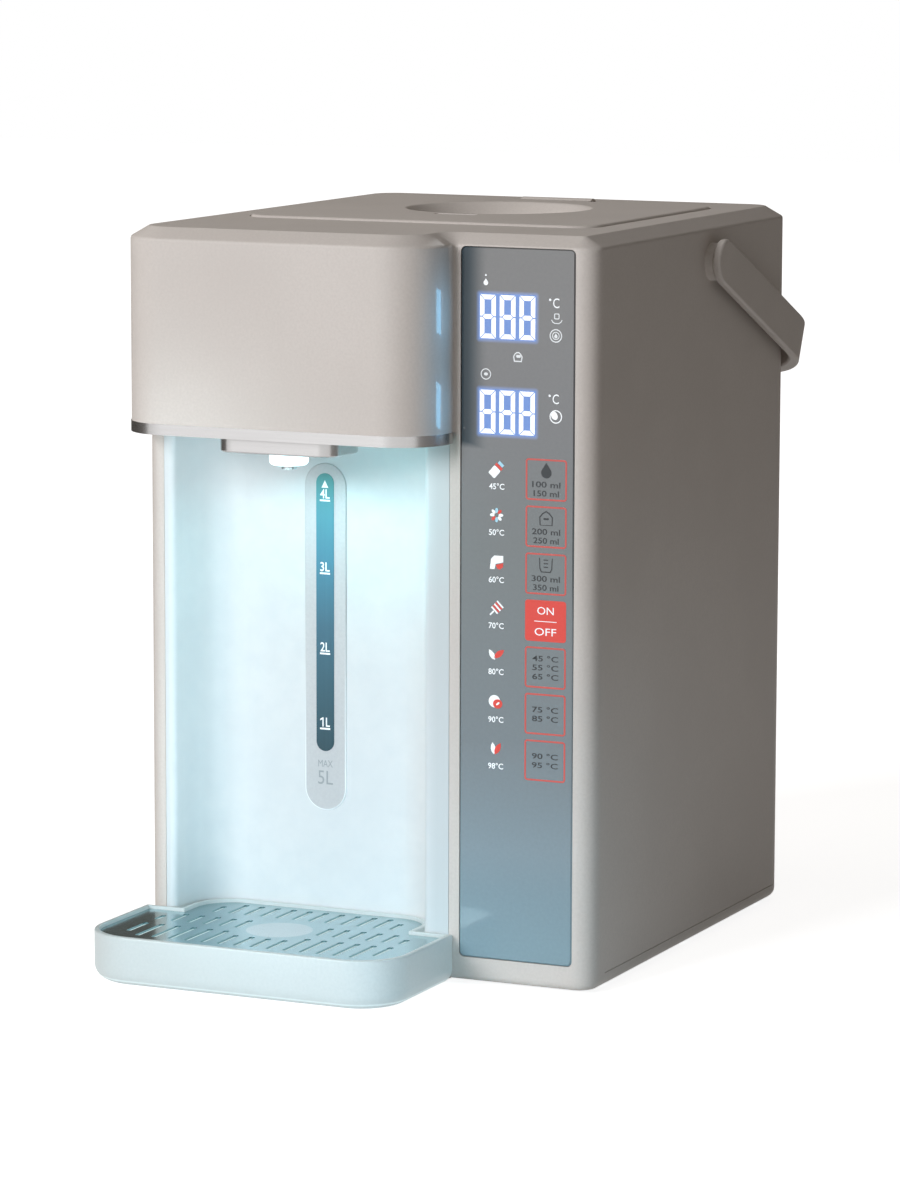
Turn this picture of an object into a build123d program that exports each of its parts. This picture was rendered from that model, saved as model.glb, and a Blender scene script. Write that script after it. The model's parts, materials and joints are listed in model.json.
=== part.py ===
from build123d import *
import math
import os

os.makedirs("parts", exist_ok=True)

# Frame: +X right, the front faces -Y, +Z up, in millimetres. The pieces are drawn about the middle of
# the body, on the table, and are moved at the end so that the origin lies under the middle of the whole
# footprint, drip tray and handle included.
TO_FOOTPRINT_Y = 26.7

# ---- housing
BODY_W = 224.0
BODY_D = 248.0
BODY_H = 340.0
FOOT_H = 2.0
WALL = 2.8
FRONT_R = 10.0
REAR_R = 20.0
TOP_IN = 8.5
TOP_DOWN = 5.0
TOP_SOFT = 1.6
BOTTOM_R = 4.0
PARTING_Z = 8.2
PARTING_H = 0.4
PARTING_DEEP = 0.35
PARTING_FROM_FRONT = 16.0
FRONT = -BODY_D / 2
REAR = BODY_D / 2
SIDE = BODY_W / 2

# ---- spout head, which stands out from the left part of the front
HEAD_X0 = -SIDE
HEAD_X1 = 44.0
HEAD_OUT = 30.0
HEAD_FRONT = FRONT - HEAD_OUT
HEAD_R = 24.0
HEAD_Z = 251.5
BAND_H = 5.0
BAND_PROUD = 0.3
BAY_CX = (HEAD_X0 + HEAD_X1) / 2
BLEND_R = 2.0

# ---- bay panel with its niche
BAY_X0 = -102.0
BAY_X1 = 42.0
NICHE_HALF = 63.0
NICHE_DEPTH = 30.0
NICHE_R = 22.0
NICHE_LIP_R = 3.0
NICHE_FLOOR = FRONT + NICHE_DEPTH
PANEL_T = 2.4
BASE_T = 3.0
BASE_TOP = FOOT_H + BASE_T
FLOOR_PLATE_Z = 246.9
FLOOR_PLATE_T = 2.4
SEAM = 0.2

# ---- level window in the niche
WINDOW_W = 21.0
WINDOW_Z0 = 68.5
WINDOW_Z1 = 230.2
WINDOW_PROUD = 0.8
LENS_W = 8.9
LENS_Z0 = 96.3
LENS_Z1 = 225.6

# ---- nozzle under the head
NOZZLE_Y = FRONT - 8.0
BLOCK_W = 60.0
BLOCK_D = 32.0
BLOCK_R = 9.0
BLOCK_Z0 = 239.5
BLOCK_T = 1.6
LIGHT_R = 8.9
LIGHT_Z0 = 233.6
NOZZLE_Z0 = 231.8
NOZZLE_Z1 = 262.0

# ---- water pipes
PIPE_R = 3.5
PIPE_BORE = 2.5
HOSE_R = 5.0
RISER_Y = FRONT + 37.6
RISER_Z0 = 66.0
RISER_Z1 = 258.0
HOSE_TOP_Z = 277.0

# ---- control glass
GLASS_X0 = 47.3
GLASS_X1 = 102.2
GLASS_Z0 = 13.4
GLASS_Z1 = 334.3
GLASS_R = 2.3
GLASS_T = 2.2
GLASS_PROUD = 0.1
GLASS_GAP = 0.25
PAD_BACK = 5.4

# ---- tank, heater and pump
TANK_Y = 10.0
TANK_R = 95.5
TANK_T = 0.8
TANK_Z0 = 72.8
TANK_Z1 = 290.0
TANK_FLANGE = 99.0
PORT_X = 10.0
PORT_Y = -62.0
PORT_R = 5.0
HEATER_R = 60.0
HEATER_T = 6.0
PUMP_R = 22.0
PUMP_Z0 = 36.0
PUMP_Z1 = 56.0
MOTOR_R = 18.0
MOTOR_Z0 = 8.0
MOTOR_Z1 = 30.0
SHAFT_R = 1.5
RUNNING_FIT = 0.05

# ---- lid and the opening under it
LID_X = 87.9
LID_Y0 = -72.9
LID_Y1 = 84.0
LID_R = 13.0
LID_TOP = 341.0
LID_SKIRT = 331.0
LID_SKIN = 2.4
LID_GAP = 0.5
DISH_Y = 24.0
DISH_R = 44.0
DISH_FLOOR_R = 36.0
DISH_DEPTH = 6.6
MOUTH_Y = 6.0
MOUTH_R = 70.0
DECK_LEDGE = 326.0
COLLAR_T = 3.0
SEAL_T = 2.4
HINGE_Y = 95.0
HINGE_Z = 337.0
HINGE_HALF = 18.5
KNUCKLE_R = 4.6
HINGE_PIN_R = 2.0
VENT_Y = -26.0
VENT_W = 21.0
VENT_D = 4.0

# ---- carry handle, a strap that hugs the rear corners
PIVOT_Y = 14.3
PIVOT_Z = 320.0
HUB_R = 8.8
HUB_X = SIDE + 4.2
ARM_IN = SIDE + 4.5
ARM_OUT = SIDE + 8.5
ARM_HALF_H = 10.6
HANDLE_LEN = 133.5
GRIP_T = 8.0
GRIP_R = 30.0
HANDLE_TILT = -24.0
PIN_R = 2.5

# ---- drip tray and grille
TRAY_FRONT = FRONT - 69.5
TRAY_X0 = HEAD_X0
TRAY_X1 = HEAD_X1
TRAY_R = 24.0
TRAY_H = 22.9
TRAY_T = 2.2
TRAY_FOOT_R = 7.0
TRAY_GAP = 0.5
GRILLE_T = 0.8
GRILLE_Z = 20.6
GRILLE_GAP = 0.4
SLOT_W = 2.6
SLOT_PITCH = 8.25
# Each row of slots from front to back: its middle, its length, and how many slots it has on each side.
SLOT_ROWS = [(TRAY_FRONT + 26.3, 26.0, 8), (FRONT - 14.2, 16.0, 8), (FRONT + 13.0, 19.5, 6)]
SLOT_CUT = 7.0
REST_Y = FRONT - 19.0
REST_R = 15.5
REST_DIP = 0.35

# ---- base
FOOT_R = 9.0
FOOT_AT = 88.0
POST_X = 104.5
POST_R = 5.0
SCREW_R = 1.7
SCREW_HEAD_R = 3.5


def rounded_polygon(corners):
    """A face with straight sides and the given radius at each (x, y, radius) corner."""
    edges = []
    ends = []
    count = len(corners)
    for i in range(count):
        x, y, r = corners[i]
        here = Vector(x, y)
        before = (Vector(*corners[i - 1][:2]) - here).normalized()
        after = (Vector(*corners[(i + 1) % count][:2]) - here).normalized()
        if r == 0:
            ends.append((here, here))
            continue
        half = math.acos(max(-1.0, min(1.0, before.dot(after)))) / 2
        reach = r / math.tan(half)
        start = here + before * reach
        finish = here + after * reach
        to_centre = (before + after).normalized()
        middle = here + to_centre * (r / math.sin(half) - r)
        edges.append(ThreePointArc(start, middle, finish))
        ends.append((start, finish))
    for i in range(count):
        a = ends[i][1]
        b = ends[(i + 1) % count][0]
        if (b - a).length > 1e-6:
            edges.append(Line(a, b))
    return make_face(Wire.combine(edges)[0])


def prism(face, z0, z1):
    return extrude(Pos(0, 0, z0) * face, amount=z1 - z0, dir=(0, 0, 1))


def block(x0, x1, y0, y1, z0, z1):
    return Pos((x0 + x1) / 2, (y0 + y1) / 2, (z0 + z1) / 2) * Box(x1 - x0, y1 - y0, z1 - z0)


def rod(x, y, z0, z1, r):
    return Pos(x, y, (z0 + z1) / 2) * Cylinder(r, z1 - z0)


def pipe(x, y, z0, z1, r, bore):
    return rod(x, y, z0, z1, r) - rod(x, y, z0, z1, bore)


def cross_rod(x0, x1, y, z, r):
    """A cylinder lying along X."""
    return Pos((x0 + x1) / 2, y, z) * Rot(0, 90, 0) * Cylinder(r, x1 - x0)


def rounded_block(x0, x1, y0, y1, z0, z1, r):
    corners = [(x0, y0, r), (x1, y0, r), (x1, y1, r), (x0, y1, r)]
    return prism(rounded_polygon(corners), z0, z1)


def capsule_plate(cx, width, z0, z1, y0, y1):
    """A plate with round ends, standing upright and facing -Y."""
    shape = SlotOverall(z1 - z0, width, rotation=90)
    face = Plane(origin=(cx, y1, (z0 + z1) / 2), x_dir=(1, 0, 0), z_dir=(0, -1, 0)) * shape
    return extrude(face, amount=y1 - y0)


def upright_plate(x0, x1, z0, z1, y0, y1, r):
    """A plate with rounded corners, standing upright and facing -Y."""
    shape = RectangleRounded(x1 - x0, z1 - z0, r)
    plane = Plane(origin=((x0 + x1) / 2, y1, (z0 + z1) / 2), x_dir=(1, 0, 0), z_dir=(0, -1, 0))
    return extrude(plane * shape, amount=y1 - y0)


def bent_pipe(points, bend_r, r, bore):
    """A round pipe along straight runs that are joined by bends."""
    path = FilletPolyline(*points, radius=bend_r)
    start = Plane(origin=path @ 0, z_dir=path % 0)
    outer = sweep(start * Circle(r), path=path)
    inner = sweep(start * Circle(bore), path=path)
    return outer - inner


def body_outline():
    return rounded_polygon([
        (-SIDE, FRONT, FRONT_R),
        (SIDE, FRONT, FRONT_R),
        (SIDE, REAR, REAR_R),
        (-SIDE, REAR, REAR_R),
    ])


def upper_outline(proud=0.0):
    """The body and the head in plan; proud moves every side outwards."""
    return rounded_polygon([
        (HEAD_X0 - proud, HEAD_FRONT - proud, HEAD_R + proud),
        (HEAD_X1 + proud, HEAD_FRONT - proud, HEAD_R + proud),
        (HEAD_X1 + proud, FRONT - proud, BLEND_R - proud),
        (SIDE + proud, FRONT - proud, FRONT_R + proud),
        (SIDE + proud, REAR + proud, REAR_R + proud),
        (HEAD_X0 - proud, REAR + proud, REAR_R + proud),
    ])


def group(pieces):
    """Several loose solids that share one node."""
    return Compound([solid for piece in pieces for solid in piece.solids()])


def top_edges(solid, z):
    return [e for e in solid.edges() if abs(e.center().Z - z) < 1e-3 and e.bounding_box().size.Z < 1e-3]


def bevelled(solid, z, inwards, down):
    """A flat bevel round the top face, wider than it is high."""
    return chamfer(top_edges(solid, z), length=inwards, length2=down, reference=solid.faces().sort_by(Axis.Z)[-1])


# ------------------------------------------------------------------ housing

def housing_walls():
    outer = prism(body_outline(), FOOT_H, HEAD_Z) + prism(upper_outline(), HEAD_Z, BODY_H)
    outer = bevelled(outer, BODY_H, TOP_IN, TOP_DOWN)
    outer = fillet(top_edges(outer, BODY_H) + top_edges(outer, BODY_H - TOP_DOWN), TOP_SOFT)
    outer = fillet(top_edges(outer, FOOT_H), BOTTOM_R)
    low = prism(offset(body_outline(), amount=-WALL), FOOT_H, HEAD_Z)
    high = prism(offset(upper_outline(), amount=-WALL), HEAD_Z, BODY_H - WALL)
    # The bevel inside is shorter, so that the wall keeps its thickness behind the one outside.
    shorter = WALL * (TOP_IN + TOP_DOWN - math.hypot(TOP_IN, TOP_DOWN))
    high = bevelled(high, BODY_H - WALL, TOP_IN - shorter / TOP_DOWN, TOP_DOWN - shorter / TOP_IN)
    return outer - low - high


def parting_line(shell):
    """The shallow line round the sides and the back, where the mould's two halves meet."""
    z1 = PARTING_Z + PARTING_H
    ring = prism(body_outline(), PARTING_Z, z1)
    ring -= prism(offset(body_outline(), amount=-PARTING_DEEP), PARTING_Z, z1)
    return shell - (ring & block(-SIDE - 1, SIDE + 1, FRONT + PARTING_FROM_FRONT, REAR + 1, PARTING_Z, z1))


def glass_seat(shell):
    inside = FRONT + WALL
    shell += block(HEAD_X1, SIDE - 6, inside, FRONT + PAD_BACK, 8, BODY_H - TOP_DOWN + 0.5)
    shell -= upright_plate(
        GLASS_X0 - GLASS_GAP, GLASS_X1 + GLASS_GAP, GLASS_Z0 - GLASS_GAP, GLASS_Z1 + GLASS_GAP,
        FRONT - 1, FRONT - GLASS_PROUD + GLASS_T, GLASS_R + GLASS_GAP)
    shell -= block(51, 98.5, FRONT - 1, FRONT + PAD_BACK + 1, 18, 330)
    return shell


def lid_opening(shell):
    ring = 2.6
    x = LID_X + LID_GAP
    y0 = LID_Y0 - LID_GAP
    y1 = LID_Y1 + LID_GAP
    top = BODY_H - WALL
    shell += rounded_block(-x - ring, x + ring, y0 - ring, y1 + ring, DECK_LEDGE, top, LID_R + LID_GAP + ring)
    pocket_x = HINGE_HALF + 0.6
    pocket_y = HINGE_Y + 8
    shell += block(-pocket_x - 2.4, pocket_x + 2.4, LID_Y1, pocket_y + 2.5, DECK_LEDGE + 0.5, top)
    for sign in (-1, 1):
        near = sign * pocket_x
        far = sign * (pocket_x + 6.4)
        shell += block(min(near, far), max(near, far), HINGE_Y - 5, HINGE_Y + 5, 331, top)
    shell -= rounded_block(-x, x, y0, y1, DECK_LEDGE - 1, BODY_H + 1, LID_R + LID_GAP)
    shell -= block(-pocket_x, pocket_x, LID_Y1 - 4, pocket_y, DECK_LEDGE + 3, BODY_H + 1)
    shell -= cross_rod(-pocket_x - 6, pocket_x + 6, HINGE_Y, HINGE_Z, HINGE_PIN_R)
    return shell


def post_places():
    return [(sign * POST_X, y) for sign in (-1, 1) for y in (-98, 0, 95)]


def screw_posts(shell):
    for x, y in post_places():
        shell += pipe(x, y, BASE_TOP, 40, POST_R, SCREW_R)
        shell += block(min(x, math.copysign(SIDE - 1, x)), max(x, math.copysign(SIDE - 1, x)),
                       y - 1, y + 1, BASE_TOP, 40) - rod(x, y, 0, 50, POST_R - 0.5)
    return shell


INLET_X = 60.0
INLET_Z = 32.0
INLET_W = 27.0
INLET_H = 20.0


def build_housing():
    shell = parting_line(housing_walls())
    shell = glass_seat(shell)
    shell -= block(BAY_X0, BAY_X1, FRONT - 1, FRONT + WALL + 0.01, FOOT_H - 1, HEAD_Z)
    shell = lid_opening(shell)
    shell = screw_posts(shell)
    shell -= cross_rod(-SIDE - 1, SIDE + 1, PIVOT_Y, PIVOT_Z, 5)
    shell -= block(INLET_X - INLET_W / 2 - SEAM, INLET_X + INLET_W / 2 + SEAM, REAR - 5, REAR + 1,
                   INLET_Z - INLET_H / 2 - SEAM, INLET_Z + INLET_H / 2 + SEAM)
    return shell


# ------------------------------------------------------------------ bay

def niche_plan(grow=0.0):
    """The niche in plan, open towards the front; grow moves its walls outwards."""
    half = NICHE_HALF + grow
    back = NICHE_FLOOR + grow
    return rounded_polygon([
        (BAY_CX - half, FRONT - 6, 0),
        (BAY_CX + half, FRONT - 6, 0),
        (BAY_CX + half, back, NICHE_R + grow),
        (BAY_CX - half, back, NICHE_R + grow),
    ])


def build_bay_panel():
    inside = FRONT + WALL
    z0 = BASE_TOP
    z1 = FLOOR_PLATE_Z
    panel = block(BAY_X0 + SEAM, BAY_X1 - SEAM, FRONT, inside, z0, z1)
    flange = block(BAY_X0 - 3, HEAD_X1 - 0.1, inside, inside + 2, z0, z1)
    panel += flange & prism(offset(body_outline(), amount=-WALL), z0, z1)
    panel += prism(niche_plan(PANEL_T), z0, z1) & block(-SIDE, SIDE, FRONT, 0, z0, z1)
    panel -= prism(niche_plan(), z0 - 1, z1 + 1)
    lips = [e for e in panel.edges()
            if e.length > 200 and abs(e.center().Y - FRONT) < 0.01
            and abs(abs(e.center().X - BAY_CX) - NICHE_HALF) < 0.01]
    panel = fillet(lips, NICHE_LIP_R)
    panel -= capsule_plate(BAY_CX, WINDOW_W - 2, WINDOW_Z0 + 1, WINDOW_Z1 - 1,
                           NICHE_FLOOR - 1, NICHE_FLOOR + PANEL_T + 1)
    return panel


def build_window_bezel():
    face = NICHE_FLOOR - WINDOW_PROUD
    bezel = capsule_plate(BAY_CX, WINDOW_W, WINDOW_Z0, WINDOW_Z1, face, NICHE_FLOOR)
    front_rim = [e for e in bezel.edges() if abs(e.center().Y - face) < 0.01 and e.bounding_box().size.Y < 0.01]
    bezel = fillet(front_rim, 0.5)
    bezel += capsule_plate(BAY_CX, WINDOW_W - 2.4, WINDOW_Z0 + 1.2, WINDOW_Z1 - 1.2,
                           NICHE_FLOOR, NICHE_FLOOR + PANEL_T)
    return bezel - capsule_plate(BAY_CX, LENS_W, LENS_Z0, LENS_Z1, face - 1, NICHE_FLOOR + PANEL_T + 1)


def build_window_lens():
    return capsule_plate(BAY_CX, LENS_W, LENS_Z0, LENS_Z1, NICHE_FLOOR - WINDOW_PROUD - 0.3, NICHE_FLOOR + 1.6)


# ------------------------------------------------------------------ head

def build_band():
    z0 = HEAD_Z - BAND_H
    ring = prism(upper_outline(BAND_PROUD), z0, HEAD_Z) - prism(offset(upper_outline(), amount=-WALL), z0, HEAD_Z)
    return ring & block(-SIDE - 2, HEAD_X1 + 1, HEAD_FRONT - 2, FRONT - BAND_PROUD - BLEND_R, z0, HEAD_Z)


def build_head_floor():
    z0 = FLOOR_PLATE_Z
    z1 = z0 + FLOOR_PLATE_T
    plate = prism(offset(upper_outline(), amount=-WALL - 0.1), z0, z1)
    plate &= block(-SIDE, HEAD_X1, HEAD_FRONT, FRONT - 1, z0, z1)
    plate += block(BAY_X0 + SEAM, BAY_X1 - WALL, FRONT - 1, NICHE_FLOOR + PANEL_T, z0, z1)
    return plate - rod(BAY_CX, NOZZLE_Y, z0 - 1, z1 + 1, PIPE_R + 0.2)


def build_nozzle_block():
    x0 = BAY_CX - BLOCK_W / 2
    x1 = BAY_CX + BLOCK_W / 2
    y0 = NOZZLE_Y - BLOCK_D / 2
    y1 = NOZZLE_Y + BLOCK_D / 2
    shroud = rounded_block(x0, x1, y0, y1, BLOCK_Z0, FLOOR_PLATE_Z, BLOCK_R)
    low_rim = [e for e in shroud.edges() if abs(e.center().Z - BLOCK_Z0) < 1e-3 and e.bounding_box().size.Z < 1e-3]
    shroud = fillet(low_rim, 0.8)
    t = BLOCK_T
    shroud -= rounded_block(x0 + t, x1 - t, y0 + t, y1 - t, BLOCK_Z0 + t, FLOOR_PLATE_Z + 1, BLOCK_R - t)
    return shroud - rod(BAY_CX, NOZZLE_Y, BLOCK_Z0 - 1, BLOCK_Z0 + t + 1, LIGHT_R + 0.1)


def build_light_lens():
    inner = BLOCK_Z0 + BLOCK_T
    lens = rod(BAY_CX, NOZZLE_Y, LIGHT_Z0, inner, LIGHT_R)
    low_rim = [e for e in lens.edges() if abs(e.center().Z - LIGHT_Z0) < 1e-3]
    lens = fillet(low_rim, 2.0)
    lens += rod(BAY_CX, NOZZLE_Y, inner, inner + 1.2, LIGHT_R + 2)
    return lens - rod(BAY_CX, NOZZLE_Y, LIGHT_Z0 - 1, inner + 2, PIPE_R + 0.2)


def build_nozzle():
    top = FLOOR_PLATE_Z + FLOOR_PLATE_T
    tube = rod(BAY_CX, NOZZLE_Y, NOZZLE_Z0, NOZZLE_Z1, PIPE_R)
    tube += rod(BAY_CX, NOZZLE_Y, top, top + 1.6, PIPE_R + 4)
    return tube - rod(BAY_CX, NOZZLE_Y, NOZZLE_Z0 - 1, NOZZLE_Z1 + 1, PIPE_BORE)


def build_light_board():
    z0 = BLOCK_Z0 + BLOCK_T + 2.4
    board = block(BAY_CX - 25, BAY_CX + 25, NOZZLE_Y - 11, NOZZLE_Y + 11, z0, z0 + 1.2)
    board -= rod(BAY_CX, NOZZLE_Y, z0 - 1, z0 + 3, PIPE_R + 1)
    for sign in (-1, 1):
        for x in (7, 15, 22):
            cx = BAY_CX + sign * x
            board += block(cx - 1.4, cx + 1.4, NOZZLE_Y - 1.4, NOZZLE_Y + 1.4, z0 - 1, z0)
    return board


# ------------------------------------------------------------------ control panel

def build_glass():
    y0 = FRONT - GLASS_PROUD
    glass = upright_plate(GLASS_X0, GLASS_X1, GLASS_Z0, GLASS_Z1, y0, y0 + GLASS_T, GLASS_R)
    rim = [e for e in glass.edges() if abs(e.center().Y - y0) < 0.01 and e.bounding_box().size.Y < 0.01]
    return chamfer(rim, 0.6)


def build_touch_board():
    y0 = FRONT - GLASS_PROUD + GLASS_T
    return block(52, 97.5, y0, y0 + 1.6, 20, 328)


def build_display(z0):
    y0 = FRONT - GLASS_PROUD + GLASS_T + 1.6
    module = block(54, 86, y0, y0 + 7, z0, z0 + 22)
    for i in range(6):
        module += block(57 + 5 * i, 58 + 5 * i, y0 + 7, y0 + 9, z0 + 2, z0 + 3)
    return module


# ------------------------------------------------------------------ tank and water path

def build_tank():
    tank = rod(0, TANK_Y, TANK_Z0, TANK_Z1, TANK_R)
    base = [e for e in tank.edges() if abs(e.center().Z - TANK_Z0) < 1e-3]
    tank = fillet(base, 8)
    hollow = rod(0, TANK_Y, TANK_Z0 + TANK_T, TANK_Z1 + 1, TANK_R - TANK_T)
    base = [e for e in hollow.edges() if abs(e.center().Z - TANK_Z0 - TANK_T) < 1e-3]
    hollow = fillet(base, 8 - TANK_T)
    tank -= hollow
    tank += pipe(0, TANK_Y, TANK_Z1 - TANK_T, TANK_Z1, TANK_FLANGE, TANK_R - TANK_T)
    tank += rod(PORT_X, PORT_Y, 62.5, TANK_Z0 + TANK_T, PORT_R)
    return tank - rod(PORT_X, PORT_Y, 60, TANK_Z0 + 2, PORT_R - 1)


def build_tank_gasket():
    return pipe(0, TANK_Y, TANK_Z1, TANK_Z1 + 1.6, TANK_FLANGE, TANK_R - TANK_T)


def build_collar():
    z0 = TANK_Z1 + 1.6
    low = z0 + COLLAR_T
    high = DECK_LEDGE - COLLAR_T
    collar = rod(0, TANK_Y, z0, low, TANK_FLANGE + 0.5)
    collar += rod(0, MOUTH_Y, low, high, MOUTH_R + 2.5)
    reach = 2.6 + LID_GAP
    collar += rounded_block(-LID_X - reach, LID_X + reach, LID_Y0 - reach, LID_Y1 + reach,
                            high, DECK_LEDGE, LID_R + reach)
    return collar - rod(0, MOUTH_Y, z0 - 1, DECK_LEDGE + 1, MOUTH_R)


def build_heater():
    z1 = TANK_Z0
    plate = rod(0, TANK_Y, z1 - 2.4, z1, HEATER_R)
    plate += pipe(0, TANK_Y, z1 - HEATER_T, z1 - 2.4, 46, 38)
    return plate


def build_thermostats():
    z1 = TANK_Z0 - 2.4
    found = []
    for sign in (-1, 1):
        cap = rod(sign * 18, TANK_Y, z1 - 7, z1, 8)
        cap += rod(sign * 18, TANK_Y, z1 - 10, z1 - 7, 3)
        found.append(cap)
    return group(found)


def build_temperature_sensor():
    z1 = TANK_Z0 - 2.4
    return rod(0, TANK_Y + 26, z1 - 9, z1, 4.5)


def build_cradle():
    z1 = TANK_Z0
    ring = pipe(0, TANK_Y, z1 - 3, z1, 87, 80.5)
    for sx in (-1, 1):
        for sy in (-1, 1):
            x = sx * 59
            y = TANK_Y + sy * 59
            ring += block(x - 5, x + 5, y - 5, y + 5, BASE_TOP, z1 - 3)
            ring += block(x - 8, x + 8, y - 8, y + 8, BASE_TOP, BASE_TOP + 2)
    return ring


def build_pump_casing():
    casing = rod(PORT_X, PORT_Y, PUMP_Z0, PUMP_Z1, PUMP_R)
    casing += pipe(PORT_X, PORT_Y, MOTOR_Z1, PUMP_Z0, PUMP_R, 19)
    casing += rod(PORT_X, PORT_Y, PUMP_Z1, 61.5, PORT_R)
    casing += cross_rod(PORT_X - PUMP_R - 8, PORT_X - PUMP_R + 1, PORT_Y, 46, PIPE_R)
    casing -= rod(PORT_X, PORT_Y, PUMP_Z0 + 3, PUMP_Z1 - 3, 19)
    casing -= rod(PORT_X, PORT_Y, PUMP_Z1 - 4, 62, PORT_R - 1.4)
    casing -= cross_rod(PORT_X - PUMP_R - 9, PORT_X - 15, PORT_Y, 46, PIPE_BORE)
    return casing + rod(PORT_X, PORT_Y, PUMP_Z0 + 2, 50, SHAFT_R)


def build_impeller():
    wheel = rod(PORT_X, PORT_Y, 40, 43, 16.5)
    wheel += rod(PORT_X, PORT_Y, 43, 49, 4.5)
    vane = Pos(PORT_X, PORT_Y, 45.4) * (Pos(9.5, 0, 0) * Box(11, 1.2, 4.8))
    around = Axis((PORT_X, PORT_Y, 0), (0, 0, 1))
    for i in range(6):
        wheel += vane.rotate(around, 60 * i)
    return wheel - rod(PORT_X, PORT_Y, 39, 51, SHAFT_R + RUNNING_FIT)


def build_motor_can():
    can = rod(PORT_X, PORT_Y, MOTOR_Z0, MOTOR_Z1, MOTOR_R)
    can += rod(PORT_X, PORT_Y, MOTOR_Z1 - 2, MOTOR_Z1, PUMP_R)
    can -= rod(PORT_X, PORT_Y, MOTOR_Z0 + 2, MOTOR_Z1 - 2, MOTOR_R - 1.5)
    return can - rod(PORT_X, PORT_Y, MOTOR_Z0 + 1, MOTOR_Z1 + 1, SHAFT_R + RUNNING_FIT)


def build_motor_rotor():
    rotor = rod(PORT_X, PORT_Y, MOTOR_Z0 + 1.5, 35, SHAFT_R)
    rotor += rod(PORT_X, PORT_Y, 12.5, 26, 12)
    return rotor + rod(PORT_X, PORT_Y, 31, 35, 14)


def build_motor_pad():
    return rod(PORT_X, PORT_Y, BASE_TOP, MOTOR_Z0, MOTOR_R)


def build_suction_hose():
    return pipe(PORT_X, PORT_Y, 57, 70, PORT_R + 1.8, PORT_R)


def build_lower_hose():
    start_x = PORT_X - PUMP_R - 1
    points = [(start_x, PORT_Y, 46), (BAY_CX, PORT_Y, 46), (BAY_CX, RISER_Y, 46), (BAY_CX, RISER_Y, RISER_Z0 + 9)]
    return bent_pipe(points, 9, HOSE_R, PIPE_R)


def build_riser():
    return pipe(BAY_CX, RISER_Y, RISER_Z0, RISER_Z1, PIPE_R, PIPE_BORE)


def build_upper_hose():
    points = [(BAY_CX, RISER_Y, RISER_Z1 - 6), (BAY_CX, RISER_Y, HOSE_TOP_Z),
              (BAY_CX, NOZZLE_Y, HOSE_TOP_Z), (BAY_CX, NOZZLE_Y, NOZZLE_Z1 - 7)]
    return bent_pipe(points, 12, HOSE_R, PIPE_R)


# ------------------------------------------------------------------ lid

def build_lid_cover():
    cover = rounded_block(-LID_X, LID_X, LID_Y0, LID_Y1, LID_SKIRT, LID_TOP, LID_R)
    cover = fillet(top_edges(cover, LID_TOP), 2.0)
    under = LID_TOP - LID_SKIN
    t = LID_SKIN
    room = rounded_block(-LID_X + t, LID_X - t, LID_Y0 + t, LID_Y1 - t, LID_SKIRT - 1, under, LID_R - t)
    room -= rod(0, DISH_Y, under - DISH_DEPTH, under, DISH_R + 1)
    cover -= room
    bowl = Pos(0, DISH_Y, LID_TOP - DISH_DEPTH / 2) * Cone(DISH_FLOOR_R, DISH_R, DISH_DEPTH)
    cover -= bowl
    rim = [e for e in cover.edges() if e.geom_type == GeomType.CIRCLE
           and abs(e.radius - DISH_R) < 0.01 and abs(e.center().Z - LID_TOP) < 0.01]
    cover = fillet(rim, 2.5)
    floor_rim = [e for e in cover.edges() if e.geom_type == GeomType.CIRCLE
                 and abs(e.radius - DISH_FLOOR_R) < 0.01 and e.center().Z > LID_SKIRT + 3]
    cover = fillet(floor_rim, 4)
    knuckle = cross_rod(-HINGE_HALF, HINGE_HALF, HINGE_Y, HINGE_Z, KNUCKLE_R)
    neck = block(-HINGE_HALF, HINGE_HALF, LID_Y1 - 1.5, HINGE_Y, HINGE_Z - 4, LID_TOP - 0.4)
    cover += knuckle + neck
    cover -= cross_rod(-HINGE_HALF - 1, HINGE_HALF + 1, HINGE_Y, HINGE_Z, HINGE_PIN_R + RUNNING_FIT)
    return cover - rounded_block(-VENT_W / 2 - 0.2, VENT_W / 2 + 0.2, VENT_Y - VENT_D / 2 - 0.2,
                                 VENT_Y + VENT_D / 2 + 0.2, LID_SKIRT, LID_TOP + 1, 1.8)


def build_vent_insert():
    under = LID_TOP - LID_SKIN
    top = LID_TOP - 0.4
    insert = rounded_block(-VENT_W / 2, VENT_W / 2, VENT_Y - VENT_D / 2, VENT_Y + VENT_D / 2, under - 1, top, 1.6)
    insert += rounded_block(-VENT_W / 2 - 2, VENT_W / 2 + 2, VENT_Y - VENT_D / 2 - 2,
                            VENT_Y + VENT_D / 2 + 2, under - 1.4, under, 2)
    for i in range(5):
        x = 4 * (i - 2)
        insert -= block(x - 1.4, x + 1.4, VENT_Y - 1.2, VENT_Y + 1.2, under - 3, top + 1)
    return insert


def build_lid_inner():
    z0 = DECK_LEDGE + SEAL_T
    plate = rounded_block(-LID_X + 0.5, LID_X - 0.5, LID_Y0 + 0.5, LID_Y1 - 0.5, z0, LID_SKIRT, LID_R - 0.5)
    plate += rod(0, MOUTH_Y, DECK_LEDGE - 10, z0, MOUTH_R - 4)
    plate -= rod(0, MOUTH_Y, DECK_LEDGE - 8, LID_SKIRT + 1, MOUTH_R - 6)
    for i in range(6):
        a = math.radians(60 * i)
        plate -= rod(40 * math.cos(a), MOUTH_Y + 40 * math.sin(a), DECK_LEDGE - 12, DECK_LEDGE - 6, 2)
    return plate


def build_lid_seal():
    return pipe(0, MOUTH_Y, DECK_LEDGE, DECK_LEDGE + SEAL_T, MOUTH_R + 6.5, MOUTH_R + 1.5)


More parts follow.
